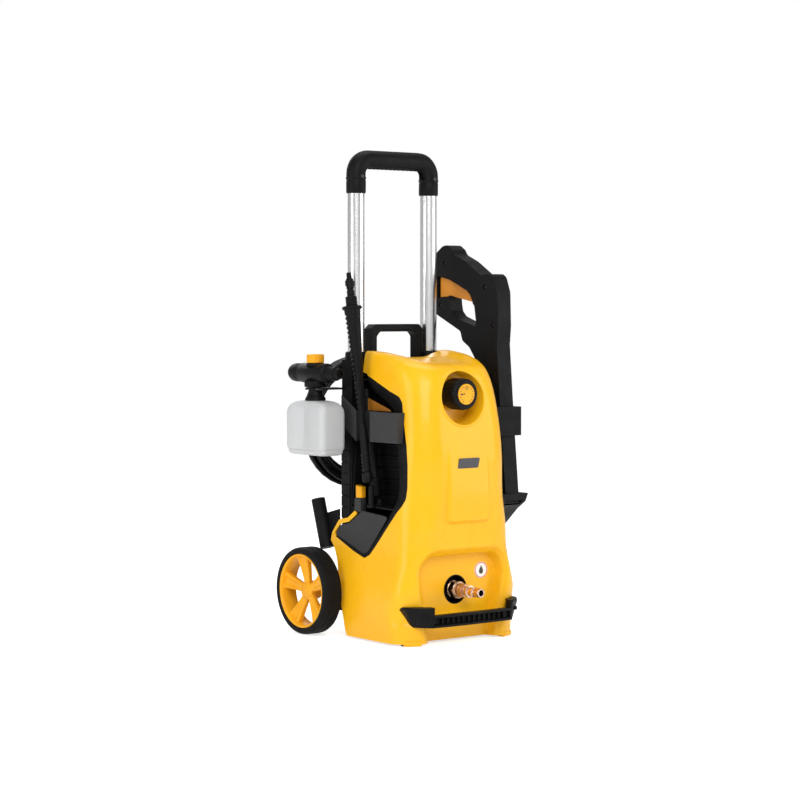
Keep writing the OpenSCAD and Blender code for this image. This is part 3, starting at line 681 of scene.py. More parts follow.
for side, label in ((-1, "left"), (1, "right")):
    piece("window_frame_" + label, Shape().loft(window_frame(side)), "black_plastic",
          replaces="side_trims" if side < 0 else (), bevel=0.9, sharp=25)

POCKET = [(20, 217.5), (-55, 212), (-22, 173), (-4, 151.5), (3, 146.5), (12, 145.5), (88, 170.5),
          (91, 174.5), (77, 189), (53, 194), (27, 211)]


def on_side(side, outline, inset, thick):
    """An outline laid on the cover's flank, as a plate."""
    return Shape().loft([[(side * (skin_x(y, z) - inset - t), y, z) for y, z in outline]
                         for t in (0, thick)])


plate = on_side(-1, fillet(POCKET, [4, 5, 9, 6, 8, 6, 4, 4, 4, 4, 4]), 0.8, 3)
piece("pocket_plate_look", plate, "dark_grey_plastic", replaces="pocket_plate", bevel=1.2,
      segments=3)
holder = Shape().slab(fillet([(20, 214), (38, 217), (38, 238), (21, 238)], 1.5), -110.5, -98)
piece("nozzle_holder", holder, "dark_grey_plastic", bevel=1.2)
wedge = fillet([(-98, 21.5), (-98, 37), (-108, 37), (-110, 33), (-110, 25), (-107, 21.5)], 1.5)
nozzle = Shape().loft([[(x, y, 238.6) for x, y in wedge],
                       [(x, y, 260 - 0.16 * (37 - y)) for x, y in wedge]])
piece("spare_nozzle_look", nozzle, "rim_yellow", body="spare", replaces="spare_nozzle", bevel=1.0,
      segments=3)

# A deep tub behind the left window, ribbed on its back wall.
tub = Shape()
RECESS = [(-86, 232), (-86, 400), (-60, 436), (50, 440), (53, 436), (53, 226), (-60, 224)]
outer = fillet(RECESS, 8)
mouth = [(-min(skin_x(y, z) - 6, 104), y, z) for y, z in outer]
tub.loft([mouth, [(-60, y, z) for y, z in outer], [(-57, y, z) for y, z in outer]], caps=False)
hub = len(tub.verts)
tub.verts.append(Vector((-57, -16, 332)))
count = len(outer)
tub.faces += [[2 * count + i, 2 * count + (i + 1) % count, hub] for i in range(count)]
liner = new_object("recess_tub", tub)
thick = liner.modifiers.new("wall", "SOLIDIFY")
thick.thickness = 0.0022
thick.offset = 0
bake(liner)
put(liner, "housing_black", replaces="side_liners")
ribs = Shape()
for i in range(9):
    z = 246 + 20 * i
    ribs.slab(fillet([(-78, z), (40, z), (40, z + 3), (-78, z + 3)], 1), -62, -58)
for p in ((-112, -3, 266), (-80, 16, 240)):
    ribs.turned([[7, 224], [7, 228], [5, 230], [4.6, p[2] - 6], [3.6, p[2] - 4.5]],
                (p[0] + 6, p[1] - 2, 0), n=24)
piece("recess_ribs", ribs, "black_plastic", bevel=0.5)
# A thin sheet inside the top of the left window, in the darker orange: painted shade standing in for the
# shaded side face of the shell.
flank = Shape().slab([(-40, 387), (-34, 391), (24, 408), (24, 387)], -92, -89)
piece("recess_flank_painted_shade", flank, "cover_yellow", bevel=0.8, material=flank_painted_shade)

# The right window is closed by a panel with slanted cooling slots.
panel_outline = fillet(FRAME_IN[:14] + [(24, 150)], 4)
closing = Shape().loft([[(min(skin_x(y, z) - 6 - t, 104 - t), y, z) for y, z in panel_outline]
                        for t in (0, 3)])
closing = new_object("right_panel", closing)
slots = Shape()
for i in range(10):
    z = 244 + 17 * i
    slots.slab(fillet([(-62 + 0.1 * i, z), (8, z + 14), (8, z + 20), (-62, z + 6)], 2.8), 70, 120)
carve(closing, slots)
put(closing, "housing_black", bevel=0.6)

# ---- knob and its recess ----

lips = []
for i in range(96):
    t = 2 * math.pi * i / 96
    c, s = math.cos(t), math.sin(t)

    def edge(r, off):
        x, z = RECESS_X + r * c, RECESS_Z + r * s
        return (x, cover_form(x, skin_y(x, z), z)[1] + off, z)

    def deep(r, y):
        return (RECESS_X + r * c, y, RECESS_Z + r * s)

    notch = 2.6 * math.exp(-((t - math.pi / 2) / 0.045) ** 2)
    lips.append([edge(49, 0.6), edge(48.4, -1.1), edge(46.8, -2.2 + notch * 0.4),
                 edge(45.2, -1.8 + notch), edge(44.4, 0.2 + notch), deep(43.6, -89),
                 deep(42.2, -86.4), deep(39, -85.2), deep(7, -85), deep(7, -82.5),
                 deep(46, -82.5), edge(46.6, 3.2)])
piece("knob_recess", Shape().loft(lips, ring=True), "cover_yellow", sharp=50)

knob = Shape()
grip_form = lambda a, r, h: r - (1.5 * max(0, math.cos(9 * a)) ** 3 if r > 24.4 and h < 36 else 0)
knob.turned([[4, -28], [4, -1], [22, -1], [24.6, 0.5], [25.4, 3], [25.4, 7], [26.6, 9],
             [26.8, 30], [26.4, 35], [25.4, 37.6], [23.4, 39.3], [20.5, 40], [18.4, 40],
             [17.8, 39.2], [0.1, 39.2]], (0, -88, KNOB_Z), (0, -1, 0), 144, grip_form)
piece("power_knob_look", knob, "black_plastic", body="knob", replaces="power_knob", sharp=38)
disc = Shape()
disc.turned([[17.4, 39.0], [17.4, 40.3], [16.6, 41.2], [0.1, 41.4]], (0, -88, KNOB_Z), (0, -1, 0), 64)
piece("knob_disc_look", disc, "rim_yellow", body="knob", replaces="knob_disc", sharp=30)
marks = Shape()
for a in range(-150, 151, 20):
    if abs(a) < 30:
        continue
    spin = Matrix.Translation((0, 0, KNOB_Z)) @ Matrix.Rotation(math.radians(a), 4, "Y")
    marks.box((-0.5, -129.62, 12.2), (0.5, -129.1, 15), move=spin)
marks.ring([[2.0, 0.0], [3.0, 0.0], [3.0, 0.4], [2.0, 0.4]], (0, -129.2, KNOB_Z + 10.5), (0, -1, 0), 24)
for a, b in (((-12.5, -1.2), (-7.6, 0.0)), ((-6.2, -0.9), (-4.6, 0.9))):
    marks.box((a[0], -129.62, KNOB_Z + a[1]), (b[0], -129.1, KNOB_Z + b[1] + 1.4))
piece("knob_marks", marks, "badge_grey", body="knob", material=mark_dark)

# ---- nameplate, sticker and water inlet ----

name = Shape().slab(fillet([(-25, 289.5), (19.5, 289.5), (25, 310.5), (-19.5, 310.5)], 2.5),
                    -134.4, -131.4, "y")
name.slab(fillet([(-20, 293.5), (17.4, 293.5), (20.6, 306.5), (-16.6, 306.5)], 1.5), -134.5, -134,
          "y")
piece("nameplate_look", name, "badge_grey", replaces="nameplate", bevel=0.6, segments=3)

STICKER = (55.6, -99.5, 116)
round_label = Shape().turned([[14, -0.5], [14, 0.25], [13.8, 0.4], [0.1, 0.4]], STICKER, (0, -1, 0), 64)
piece("round_label", round_label, "badge_grey", material=label_white)
drop = Shape()
drop.ring([[12.0, 0.3], [13.3, 0.3], [13.3, 0.62], [12.0, 0.62]], STICKER, (0, -1, 0), 64)
piece("round_label_ring", drop, "badge_grey", material=label_red)
tear = [(5.2 * math.sin(t) * math.sin(t / 2) ** 1.3, 7.2 * math.cos(t)) for t in
        (2 * math.pi * i / 32 for i in range(32))]
water = Shape().slab([(STICKER[0] + 1.15 * a, STICKER[2] + 0.5 + b) for a, b in tear],
                     -100.15, -99.7, "y")
piece("round_label_drop", water, "badge_grey", material=mark_dark)

hole = Shape().ring([[25, 0.5], [24.4, -0.8], [23.2, -1.0], [22.6, 0], [22.6, 26], [25, 26]],
                    (0, -99, INLET_Z), (0, 1, 0), 64)
hole.turned([[24, 22], [24, 24.5], [10, 24.5]], (0, -99, INLET_Z), (0, 1, 0), 48)
piece("inlet_well", hole, "black_plastic")

inlet = Shape()
hexed = lambda a, r, h: r / max(math.cos((a % (math.pi / 3)) - math.pi / 6), 0.5) * 0.88 \
    if 10 < h < 24 and r > 14.5 else r
inlet.turned([[9, -14], [9, -2], [12, 0], [14.2, 1.2], [14.6, 3], [14.6, 9.5], [13.2, 10.4],
              [14.8, 10.8], [15.2, 12], [15.2, 22.6], [14.6, 24], [12.6, 25.4], [11.4, 25.8],
              [11.4, 32], [10.6, 33], [11.5, 34], [11.5, 39.4], [10.6, 41.4], [8.4, 42],
              [5.2, 42], [5.2, 41], [0.1, 41]], (0, -86, INLET_Z), (0, -1, 0), 72, hexed)
piece("water_inlet_look", inlet, "brass", replaces="water_inlet", sharp=28, bevel=0.25)
nipple = Shape()
nipple.ring([[5, 0], [8, 0], [8, 5.6], [10.2, 6.2], [10.5, 7], [10.5, 11], [10, 11.8], [8, 12.4],
             [7.4, 14], [7.4, 19], [8.6, 20.6], [8.6, 23], [7.2, 24.6], [6.8, 26], [6.8, 29.5],
             [8.0, 31.4], [8.0, 37.6], [7.4, 39.4], [6.4, 40], [5.4, 40], [5, 39.4]],
            (0, -128, INLET_Z), (0, -1, 0), 48)
piece("inlet_nipple_look", nipple, "nipple_brass", replaces="inlet_nipple", sharp=28)

# ---- bumper and feet ----

bumper = Shape()
BAR_PATH = [(-84, -143), (-62, -144.6), (-40, -145.5), (0, -146), (40, -145.5), (62, -144.6),
            (84, -143)]
channel = [(-6, 33.5), (6.5, 33.5), (7, 36.5), (6.2, 37.5), (-1, 39), (-1, 48), (6.2, 49.5),
           (7, 50.5), (6.5, 54), (-6, 54)]
bumper.loft([[(p.x, p.y + 1 - u, v) for u, v in channel]
             for p in route([(x, y, 0) for x, y in BAR_PATH], 6)])
for i in range(-6, 7):
    bumper.slab(fillet([(-148, 38), (-141, 38), (-141, 50), (-148, 50)], 1), 11 * i - 0.9,
                11 * i + 0.9)
END_RADII = [4, 8, 10, 8, 3, 3, 8, 3]
END = [(81, -148.8), (89, -146.6), (104, -138), (120.5, -118), (120, -97), (101, -97), (90, -130),
       (81, -134)]
for s in (-1, 1):
    low = fillet([(x - 0.4 * max(x - 84, 0), y * 0.985) for x, y in END], END_RADII)
    high = fillet(END, END_RADII)
    shoulder = [(x, y, 62) for x, y in high]
    bumper.loft([[(s * x, y, z) for x, y, z in loop] for loop in (
        [(x * 0.985, y, 33) for x, y in low], [(x, y, 36) for x, y in low], shoulder,
        [(x, y, 65) for x, y in high], [(x * 0.99, y * 0.992, 67) for x, y in high])])
    bumper.screw((s * 98, -142.6, 52), (s * 0.5, -0.86, 0), 3.4, 0.8)
piece("bumper_look", bumper, "black_plastic", replaces="bumper", bevel=0.9, sharp=28)

feet = Shape()
for s in (-1, 1):
    feet.turned([[7.4, 0], [8.6, 0.6], [9, 2], [8.6, 4.2], [7, 4.6]], (s * 104, -98, 0), n=40)
piece("front_feet_look", feet, "tyre_rubber", replaces="front_feet")
tabs = Shape()
for s in (-1, 1):
    tabs.loft([[(s * x, y, z) for x, y in fillet([(88, -123 + k), (114, -112 + k), (112, -98),
                                                  (88, -98)], 3)]
               for k, z in ((2, 0.6), (0, 2), (0, 9))])
piece("skirt_tabs", tabs, "cover_yellow", bevel=0.5)

# ---- wheels ----

AXLE = (117, 75)


def wheel(side):
    label = "left" if side < 0 else "right"
    hub = (side * 150, *AXLE)
    axis = (side, 0, 0)
    tyre = Shape()
    section = [[64.2, -16], [65.4, -18.4], [68, -19], [71, -18.6], [73.2, -17], [74.4, -14.6],
               [75, -11], [75, -7.4], [74, -6.8], [74, -5.6], [75, -5], [75, 5], [74, 5.6],
               [74, 6.8], [75, 7.4], [75, 11], [74.4, 14.6], [73.2, 17], [71, 18.6], [70.4, 18.2],
               [69.8, 18.2], [69.2, 18.9], [68, 19], [65.4, 18.4], [64.2, 16]]
    tyre.ring(section, hub, axis, 120)
    piece("tyre_%s_look" % label, tyre, "tyre_rubber", body="wheel_" + label,
          replaces="tyre_" + label, sharp=40)
    rim = Shape()
    rim.ring([[59.4, -15], [64, -15], [64, 15.4], [63.4, 17.4], [62, 17.8], [60.6, 17],
              [59.2, 14.6], [58.6, 12], [58.2, 2], [58.6, -8]], hub, axis, 120)
    place = Matrix.Translation(hub) @ turn_to(axis)
    for k in range(5):
        spin = place @ Matrix.Rotation(math.radians(72 * k + 5), 4, "Z")
        rows = []
        for t in [i / 10 for i in range(11)]:
            r = 9 + 51.5 * t
            half = 7.2 + 8.6 * t ** 1.5
            top = 4.2 + 8.6 * t ** 1.3
            groove = 3.2 * blend_at(0.12, 0.5, t)
            low = top - 8 - 3 * t
            rows.append([(r, -half, low), (r, -half, top - 2.4), (r, -half + 1.8, top - 0.5),
                         (r, -half * 0.62, top), (r, -half * 0.34, top - groove),
                         (r, half * 0.34, top - groove), (r, half * 0.62, top),
                         (r, half - 1.8, top - 0.5), (r, half, top - 2.4), (r, half, low)])
        rim.loft(rows, move=spin)
    rim.ring([[6.1, -18.8], [15, -18.8], [16, -17.8], [16, 4], [15, 5.4], [12.6, 6], [12, 4.4],
              [6.1, 4.4]], hub, axis, 60)
    cap = [[12.4, 3.6], [12.2, 5.8], [11, 6.6], [6.4, 7.0], [6, 6.2], [5.2, 6.2], [5, 7.2], [0.1, 7.4]]
    rim.turned(cap, hub, axis, 48)
    piece("rim_%s_look" % label, rim, "rim_yellow", body="wheel_" + label,
          replaces="rim_" + label, bevel=0.7, sharp=30)


for side in (-1, 1):
    wheel(side)
from_cad("wheel_axle", "steel", 0.8)
from_cad("axle_clips", "steel", 0.25)

# ---- telescopic handle ----

TUBES = (-79, 79)
tubes = Shape()
for x in TUBES:
    tubes.ring([[12.9, 405], [14.5, 405], [14.5, 775], [12.9, 775]], (x, 75, 0), (0, 0, 1), 64)
piece("handle_tubes_look", tubes, "tube_aluminium", body="handle", replaces="handle_tubes",
      bevel=0.4)

grip = Shape()
bend = [(55 + 24 * math.cos(t), 791 + 24 * math.sin(t)) for t in
        (math.radians(11.25 * k) for k in range(9))]
across = ([(-79, 75, 781)] + [(-x, 75, z) for x, z in bend]
          + [(x, 75, z) for x, z in bend[::-1]] + [(79, 75, 781)])


GRIP = [(-12.5, 11), (-6, 15.6), (0, 17), (6.5, 15.8), (12, 12), (15.8, 6.5), (17, 0), (15.8, -6.5),
        (12, -12), (6.5, -15.8), (0, -17), (-6, -15.6), (-12.5, -11), (-14, -8.6), (-9, -8),
        (-9, 8), (-14, 8.6)]
grip.sweep(across, GRIP, side=(-1, 0, 0))
for x in range(-54, 55, 9):
    grip.slab(fillet([(66, 799.8), (84, 799.8), (84, 806), (66, 806)], 0.6), x - 0.9, x + 0.9)
for x in TUBES:
    grip.turned([[14.6, -1], [16.4, 0], [17, 1.4], [17, 21], [16.4, 22.6], [17.4, 24], [17.6, 27],
                 [15, 28]], (x, 75, 758), n=48)
    grip.turned([[6.2, 8], [6.2, 17.4], [5.4, 18.4], [4, 18.6]], (x, 75, 786), (0, -1, 0), 32)
piece("handle_grip_look", grip, "black_plastic", body="handle", replaces="handle_grip",
      bevel=1.1, segments=3, sharp=28)
screws = Shape()
for x in TUBES:
    screws.screw((x, 56.4, 786), (0, -1, 0), 3.2, 1.0)
piece("grip_screws_look", screws, "steel", body="handle", replaces="grip_screws",
      material=dark_steel)

carry = Shape()
carry.slab(fillet([(-56, 471), (-56, 525), (-48, 533), (48, 533), (56, 525), (56, 471), (44, 471),
                   (44, 512), (37, 520), (-37, 520), (-44, 512), (-44, 471)],
                  [0, 6, 6, 6, 6, 0, 0, 6, 6, 6, 6, 0]), 61, 83, "y")
for s in (-1, 1):
    carry.slab(fillet([(s * 46.5, 474), (s * 53.5, 474), (s * 53.5, 520), (s * 48, 520)], 2),
               60.2, 64, "y")
carry.slab(fillet([(-34, 523), (34, 523), (34, 530), (-34, 530)], 3), 60.2, 64, "y")
piece("carry_handle_look", carry, "black_plastic", replaces="carry_handle", bevel=3.4, segments=4)

sleeves = Shape()
for x in TUBES:
    sleeves.ring([[14.9, 120], [16.5, 120], [16.5, 471], [14.9, 471]], (x, 75, 0), n=48)
    sleeves.ring([[14.9, 471], [19, 471], [19, 482], [18.2, 485], [16.8, 486], [15.4, 486],
                  [14.9, 485]], (x, 75, 0), n=56)
    sleeves.slab(fillet([(x - 8, 472), (x + 8, 472), (x + 8, 486), (x - 8, 486)], 3), 50, 62, "y")
piece("tube_sleeves_look", sleeves, "black_plastic", replaces="tube_sleeves", bevel=0.6, sharp=30)
buttons = Shape()
for x in TUBES:
    buttons.turned([[4.5, -5], [4.5, 1.6], [3.8, 2.6], [2.6, 2.8], [2.2, 2.2], [0.1, 2.2]],
                   (x, 49, 479), (0, -1, 0), 32)
piece("lock_buttons_look", buttons, "black_plastic", body="buttons", replaces="lock_buttons")

# ---- housing and base ----

from_cad("rear_housing", "housing_black", 1.6, 3, sharp=28)
from_cad("chassis_base", "housing_black", 1.2)
SWAP_Y_AND_Z = Matrix(((1, 0, 0, 0), (0, 0, 1, 0), (0, 1, 0, 0), (0, 0, 0, 1)))
back = Shape()
for i in range(8):
    back.slab(fillet([(62 + 7 * i, 96.4), (65.5 + 7 * i, 96.4), (65.5 + 7 * i, 98.2),
                      (62 + 7 * i, 98.2)], 0.8), -34, 22,
              move=SWAP_Y_AND_Z)
back.slab(fillet([(-62, 270), (62, 270), (62, 432), (-62, 432)], 10), 96.4, 97.9, "y")
piece("back_panel", back, "housing_black", bevel=0.5)
back_screws = Shape()
for x, z in ((-88, 60), (88, 60), (-88, 250), (88, 250), (-88, 450), (88, 450)):
    back_screws.turned([[6, -2], [6, 0.9], [5.2, 1.6], [4.2, 1.6], [4, 0.6], [0.1, 0.6]],
                       (x, 97, z), (0, 1, 0), 32)
    back_screws.screw((x, 97.6, z), (0, 1, 0), 3.4, 0.9)
piece("back_screws", back_screws, "steel")
from_cad("cable_gland", "black_plastic", 0.8)

# ---- machinery inside ----

for node, slot, bevel in (("valve_head", "pump_aluminium", 1.2), ("pump_body", "pump_aluminium", 1),
                          ("pistons", "steel", 0.4), ("piston_springs", "steel", 0),
                          ("motor_housing", "pump_aluminium", 0.8),
                          ("motor_stator", "copper_winding", 1), ("motor_rotor", "steel", 0.5),
                          ("wobble_plate", "pump_aluminium", 0.4), ("motor_fan", "inner_plastic", 0.2),
                          ("motor_bearings", "steel", 0.4), ("run_capacitor", "inner_plastic", 1),
                          ("inlet_pipe", "inner_plastic", 0), ("pressure_pipe", "inner_plastic", 0),
                          ("power_switch", "inner_plastic", 0.6)):
    from_cad(node, slot, bevel)

# ---- strap and gun holder ----

from_cad("accessory_brackets", "dark_grey_plastic", 1.1, 3)
from_cad("gun_holder", "black_plastic", 2.0, 4)

# ---- trigger gun ----

GUN_X = 150
GUN = [(122, 660), (105, 671), (92, 673), (77, 664), (71, 655), (41, 643), (-4, 617), (-11, 620),
       (-28, 620), (-37, 614), (-47, 588), (-49, 530), (-46, 497), (-54, 404), (-60, 340),
       (-72, 222), (-32, 222), (-14, 340), (-6, 404), (2, 457), (30, 492), (49, 503), (55, 520),
       (122, 549), (134, 562), (134, 648)]
GUN_ROUND = [26, 16, 16, 12, 14, 24, 14, 10, 14, 14, 20, 20, 20, 20, 20, 2, 2, 20, 20, 20, 16, 10,
             8, 12, 14, 26]
FINGERS = [(87, 584), (24, 571), (16, 565), (10, 528), (45, 537), (73, 546), (83, 555), (86, 568)]
GAP = [(120.5, 578.5), (120.5, 618), (92, 613), (68, 604.5), (54, 598.5), (37, 591.5), (28, 584),
       (21, 572), (20, 566), (24, 569), (87, 582.5), (88, 578.5)]
ROOM = [(120.5, 578.5), (120.5, 640), (90, 648), (40, 628), (12, 608), (12, 566), (24, 569.5),
        (88, 582.5)]


def gun_half(side):
    label = "left" if side < 0 else "right"
    shell = Shape()
    shell.slab(fillet(GUN, GUN_ROUND, 6), GUN_X, GUN_X + 15 * side)
    shell = new_object("gun_shell_%s_look" % label, shell)
    for outline, near, far in ((fillet(FINGERS, [3, 8, 8, 6, 12, 8, 8, 8], 5), -1, 16),
                               (GAP, -1, 16), (ROOM, -1, 10)):
        cut = Shape()
        cut.slab(outline, GUN_X + near * side, GUN_X + far * side)
        carve(shell, cut)
    bore = Shape()
    line = Vector((0, -31, -364)).normalized()
    bore.turned([[8.2, -4], [8.2, 366]], (GUN_X, -20, 590), line, 32)
    carve(shell, bore)
    if side < 0:
        dimples = Shape()
        for y, z in ((-12, 597), (-42 + 8, 530), (100, 640), (112, 566), (-30, 440), (-40, 330)):
            dimples.turned([[4.2, -2], [4.2, 4]], (GUN_X - 15, y, z), (1, 0, 0), 24)
        carve(shell, dimples)
    mesh = shell.data
    weights = mesh.attributes.new("bevel_weight_edge", "FLOAT", "EDGE")
    outer = GUN_X + 15 * side
    for edge in mesh.edges:
        ends = [mesh.vertices[i].co.x * 1000 for i in edge.vertices]
        out = min(abs(x - outer) for x in ends) < 0.01 and max(abs(x - outer) for x in ends) < 0.01
        weights.data[edge.index].value = 1.0 if out else 0.08
    put(shell, "black_plastic", body="gun", replaces="gun_shell_" + label, bevel=4.0, segments=4,
        sharp=30)
    shell.modifiers["edges"].limit_method = "WEIGHT"


for side in (-1, 1):
    gun_half(side)
gun_screws = Shape()
for y, z in ((-12, 597), (-34, 530), (100, 640), (112, 566), (-30, 440), (-40, 330)):
    gun_screws.screw((GUN_X - 12.6, y, z), (-1, 0, 0), 3, 0.8)
piece("gun_screws", gun_screws, "steel", body="gun", material=dark_steel)
band = Shape()
for s in (-1, 1):
    band.slab(fillet([(-44, 590), (-46, 530), (-43, 497), (-50, 420), (-42, 420), (-36, 497),
                      (-38, 530), (-37, 584)], 3), GUN_X + s * 14.6, GUN_X + s * 15.35)
piece("gun_side_band", band, "black_plastic", body="gun", bevel=0.3)
from_cad("gun_barrel", "brass", 0.6)
from_cad("trigger_pin", "steel", 0.3)
from_cad("gun_trigger", "trigger_yellow", 1.6, 3)
from_cad("trigger_lock", "trigger_yellow", 0.6)

# ---- lances ----

TILT = (0, math.sin(math.radians(8.65)), math.cos(math.radians(8.65)))
LANCE_A = (-112, -3, 266)
LANCE_B = (-80, 16, 240)
lance_side = smooth_table([[18, 7], [60, 7], [100, 6.6], [180, 8.6], [250, 11.6], [296, 13.8]])


def lance_form(a, r, h):
    """Fine ribs on one side of the grip and a flat strip on the other."""
    if not 95 < h < 288:
        return r
    ribbed = blend_at(0.95, 0.8, abs((a - 2.7 + math.pi) % (2 * math.pi) - math.pi))
    flat = blend_at(0.55, 0.4, abs((a - 4.6 + math.pi) % (2 * math.pi) - math.pi))
    return r - ribbed * 1.7 * (int(h / 4) % 2) - flat * 0.8


steps = [[5.2, 18.6], [6.4, 18.6], [7, 19.4]]
for k in range(5):
    steps += [[7, 22 + 6 * k], [7.8, 23 + 6 * k], [7.8, 25.4 + 6 * k], [7, 26.4 + 6 * k]]
steps += [[lance_side(h), h] for h in range(54, 296, 2)]
steps += [[14, 295.6], [16.2, 296.2], [17, 297.4], [17, 300], [16.2, 301], [11, 301.4]]
for k in range(4):
    steps += [[9.2, 302.4 + 4 * k], [10, 303.2 + 4 * k], [10, 305 + 4 * k], [9.2, 305.8 + 4 * k]]
steps += [[7.4, 318.6], [6.4, 319.6], [6.4, 328], [5.6, 328.6], [5.6, 331], [6.5, 331.6],
          [6.5, 346], [6, 348], [4.5, 350], [4.5, 357.6], [4, 359], [2.4, 359], [2.4, 352]]
lance = Shape()
lance.turned(steps, LANCE_A, TILT, 60, lance_form)
for s in (0, math.pi):
    place = Matrix.Translation(LANCE_A) @ turn_to(TILT) @ Matrix.Rotation(s, 4, "Z")
    lance.box((4, -2, 336), (8.4, 2, 345), move=place)
piece("lance_body_look", lance, "black_plastic", body="lance", replaces="lance_body", sharp=40)
fan = lambda a, r, h: r - 0.5 * (1 if 3 < h < 15 and int(a / math.pi * 10) % 2 else 0)
tip = Shape()
tip.turned([[1.6, 3], [1.8, 0.2], [4.6, 0.1], [5.4, 0.6], [8, 2.2], [8.8, 4], [9, 8], [9, 16],
            [8.4, 17.6], [7, 17.9]], LANCE_A, TILT, 60, fan)
piece("lance_nozzle_look", tip, "black_plastic", body="vario_tip", replaces="lance_nozzle")
turbo = Shape()
turbo.turned([[2, 3], [2.2, 0.2], [8.2, 0], [9, 0.6], [10, 3], [10, 25], [10.6, 26.4], [12.6, 26.8],
              [13, 27.6], [13, 30.4], [12.4, 31.2], [9, 32.6], [8, 34.4], [8, 60], [7.4, 61],
              [7.4, 63], [8, 64], [8, 118], [7.4, 121], [5.4, 126], [5, 130], [5, 168], [4.2, 169],
              [4.2, 172], [5, 173], [5, 183.6], [4.4, 185], [2.6, 185], [2.6, 176]], LANCE_B, TILT,
             60, lambda a, r, h: r - 0.6 * (1 if 4 < h < 24 and int(a / math.pi * 12) % 2 else 0))
piece("turbo_lance_look", turbo, "black_plastic", body="turbo", replaces="turbo_lance")

# ---- foam lance ----

FOAM = (-150, 96)


def bottle_loop(hx, hy, z, r=9, groove=0.0):
    """A rounded oblong section with an upright groove half way along its long sides."""
    loop = fillet([(-hx, -hy), (hx, -hy), (hx, -7), (hx - groove, -4), (hx - groove, 4), (hx, 7),
                   (hx, hy), (-hx, hy), (-hx, 7), (groove - hx, 4), (groove - hx, -4), (-hx, -7)],
                  [r, r, 0, 0, 0, 0, r, r, 0, 0, 0, 0], 6)
    return [(FOAM[0] + x, FOAM[1] + y, z) for x, y in loop]


rows = [(15, 43, 310, 7, 0), (18.6, 47.4, 310.5, 8, 0), (21.4, 50.6, 312, 9, 0),
        (23, 52.4, 314.4, 9, 0), (23.4, 52.8, 318, 9, 0), (23, 52.4, 319.2, 9, 0.4),
        (25, 54.2, 321, 10, 0.6), (26, 55, 325, 11, 1.4), (26, 55, 380, 11, 1.6),
        (25.6, 54.6, 386, 11, 1.2), (24.4, 53.2, 391, 11, 0.6), (22.2, 50.4, 395.4, 11, 0.3),
        (19.4, 46, 399, 11, 0), (16.8, 38, 401.6, 10, 0), (15.2, 20, 403, 9, 0)]
bottle = Shape()
bottle.loft([bottle_loop(*row) for row in rows])
bottle = new_object("foam_bottle_look", bottle)
hollow = Shape()
hollow.loft([bottle_loop(*row) for row in ((16, 44, 313, 7, 0), (22.6, 51.6, 325, 8, 1.4),
                                           (22.6, 51.6, 380, 8, 1.6), (17.4, 44, 396, 8, 0),
                                           (10, 11, 400.6, 6, 0))])
carve(bottle, hollow)
mouth = Shape()
mouth.turned([[10, 396], [10, 404]], (*FOAM, 0), n=40)
carve(bottle, mouth)
put(bottle, "bottle_translucent", body="foam_kit", replaces="foam_bottle", sharp=50)
head = Shape()
head.turned([[8, 390], [9.6, 390], [9.6, 402.6], [16.6, 403.2], [18, 404.6], [17.6, 407],
             [14.6, 411], [12.6, 415], [12, 419], [12, 424.6], [15, 425.4], [18, 426.2], [19, 427.6],
             [19, 435.6], [18.2, 436.8], [14, 437.2], [13, 438], [13, 446]], (*FOAM, 0), n=56)
head.turned([[6.4, 30], [6.4, 24.2], [8.4, 24], [9, 24.8], [9, 33], [10.6, 34], [11.8, 34.4],
             [12, 36], [12, 40], [11, 40.8], [11, 43], [12, 43.8], [12, 47], [11, 47.8], [11, 50],
             [12, 50.8], [12, 57], [14.6, 59], [16.4, 60.2], [17, 62], [17, 76], [16.4, 76.6],
             [16.4, 78], [17, 78.6], [17, 129.4], [16.2, 131.2], [14, 131.5]],
            (FOAM[0], 0, 450), (0, 1, 0), 60)
head.turned([[16.4, 462], [15.6, 466.4], [14.6, 467], [6, 467]], (*FOAM, 0), n=48)
piece("foam_head_look", head, "black_plastic", body="foam_kit", replaces="foam_head", bevel=0.4,
      sharp=40)
dial = Shape()
dial.turned([[0.1, 467.3], [13.8, 467.4], [14.8, 468.2], [15, 469.4], [15, 479],
             [14.4, 481.4], [13, 482.2], [9, 482.3], [8.4, 481.6], [0.1, 481.6]], (*FOAM, 0), n=96,
            form=lambda a, r, h: r - (0.7 if r > 14 and 469 < h < 481 and int(a / math.pi * 20) % 2
                                      else 0))
piece("foam_knob_look", dial, "rim_yellow", body="foam_dial", replaces="foam_knob", sharp=35)
spout = Shape()
spout.turned([[12, 132.1], [15.2, 132.2], [16, 133], [16, 137], [15.2, 137.8], [15.2, 139.6],
              [16, 140.4], [16, 150], [15.4, 155], [13.4, 159.6], [10.6, 162.2], [8, 163], [6, 163],
              [5.4, 162], [5, 150], [0.1, 150]], (FOAM[0], 0, 450), (0, 1, 0), 60)
piece("foam_nozzle_look", spout, "black_plastic", body="foam_tip", replaces="foam_nozzle", sharp=35)


# ---- stage ----

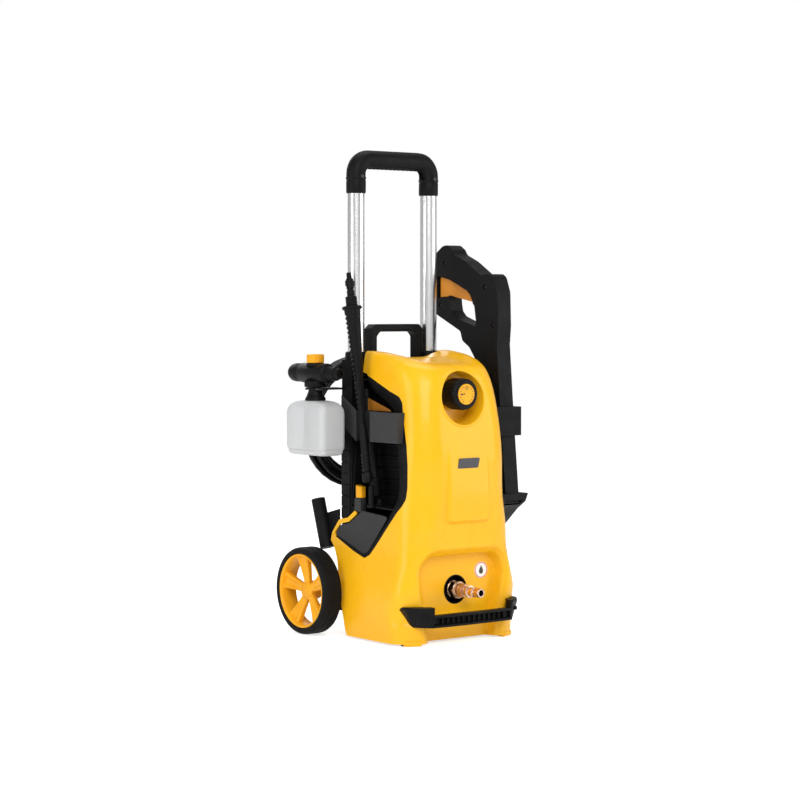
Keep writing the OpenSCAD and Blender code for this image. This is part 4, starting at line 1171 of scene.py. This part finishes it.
floor_material = surface("floor_pale", (0.86, 0.86, 0.86), 0.7, tint=0.004, bump=0.02)
floor_tree = floor_material.node_tree
floor_shader = floor_tree.nodes["Principled BSDF"]
floor_shader.inputs["Emission Color"].default_value = (1, 1, 1, 1)
floor_seen = floor_tree.nodes.new("ShaderNodeLightPath").outputs["Is Camera Ray"]
link(floor_tree, ramp(floor_tree, floor_seen, 0, 1, 0.25, 0.66), floor_shader.inputs["Emission Strength"])
floor_mesh = bpy.data.meshes.new("floor")
floor_mesh.from_pydata([(-30, -30, 0), (30, -30, 0), (30, 30, 0), (-30, 30, 0)], [], [(0, 1, 2, 3)])
floor_mesh.materials.append(floor_material)
floor = bpy.data.objects.new("floor", floor_mesh)
bpy.context.scene.collection.objects.link(floor)


def area_light(name, place, aim, size, power):
    data = bpy.data.lights.new(name, "AREA")
    data.shape = "RECTANGLE"
    data.size, data.size_y = size
    data.energy = power
    lamp = bpy.data.objects.new(name, data)
    lamp.location = place
    lamp.rotation_euler = (Vector(aim) - Vector(place)).to_track_quat("-Z", "Y").to_euler()
    bpy.context.scene.collection.objects.link(lamp)


area_light("key", (-1.6, -2.6, 2.2), (0, 0, 0.4), (2.0, 2.0), 62)
area_light("front_right", (2.2, -2.2, 1.2), (0, 0, 0.4), (1.4, 2.2), 26)
area_light("side_left", (-3.0, 0.2, 1.0), (0, 0, 0.4), (1.2, 2.2), 24)
area_light("top", (0.2, 0.3, 2.8), (0, 0, 0.4), (1.6, 1.6), 20)
area_light("back", (0.8, 2.8, 1.8), (0, 0, 0.5), (2.0, 1.6), 18)

world = bpy.data.worlds.new("studio")
bpy.context.scene.world = world
world.use_nodes = True
nodes = world.node_tree.nodes
background = nodes["Background"]
background.inputs["Color"].default_value = (1, 1, 1, 1)
seen = nodes.new("ShaderNodeLightPath").outputs["Is Camera Ray"]
strength = ramp(world.node_tree, seen, 0, 1, 0.4, 1.0)
link(world.node_tree, strength, background.inputs["Strength"])
bpy.context.scene.view_settings.view_transform = "Standard"
bpy.context.scene.view_settings.look = "None"
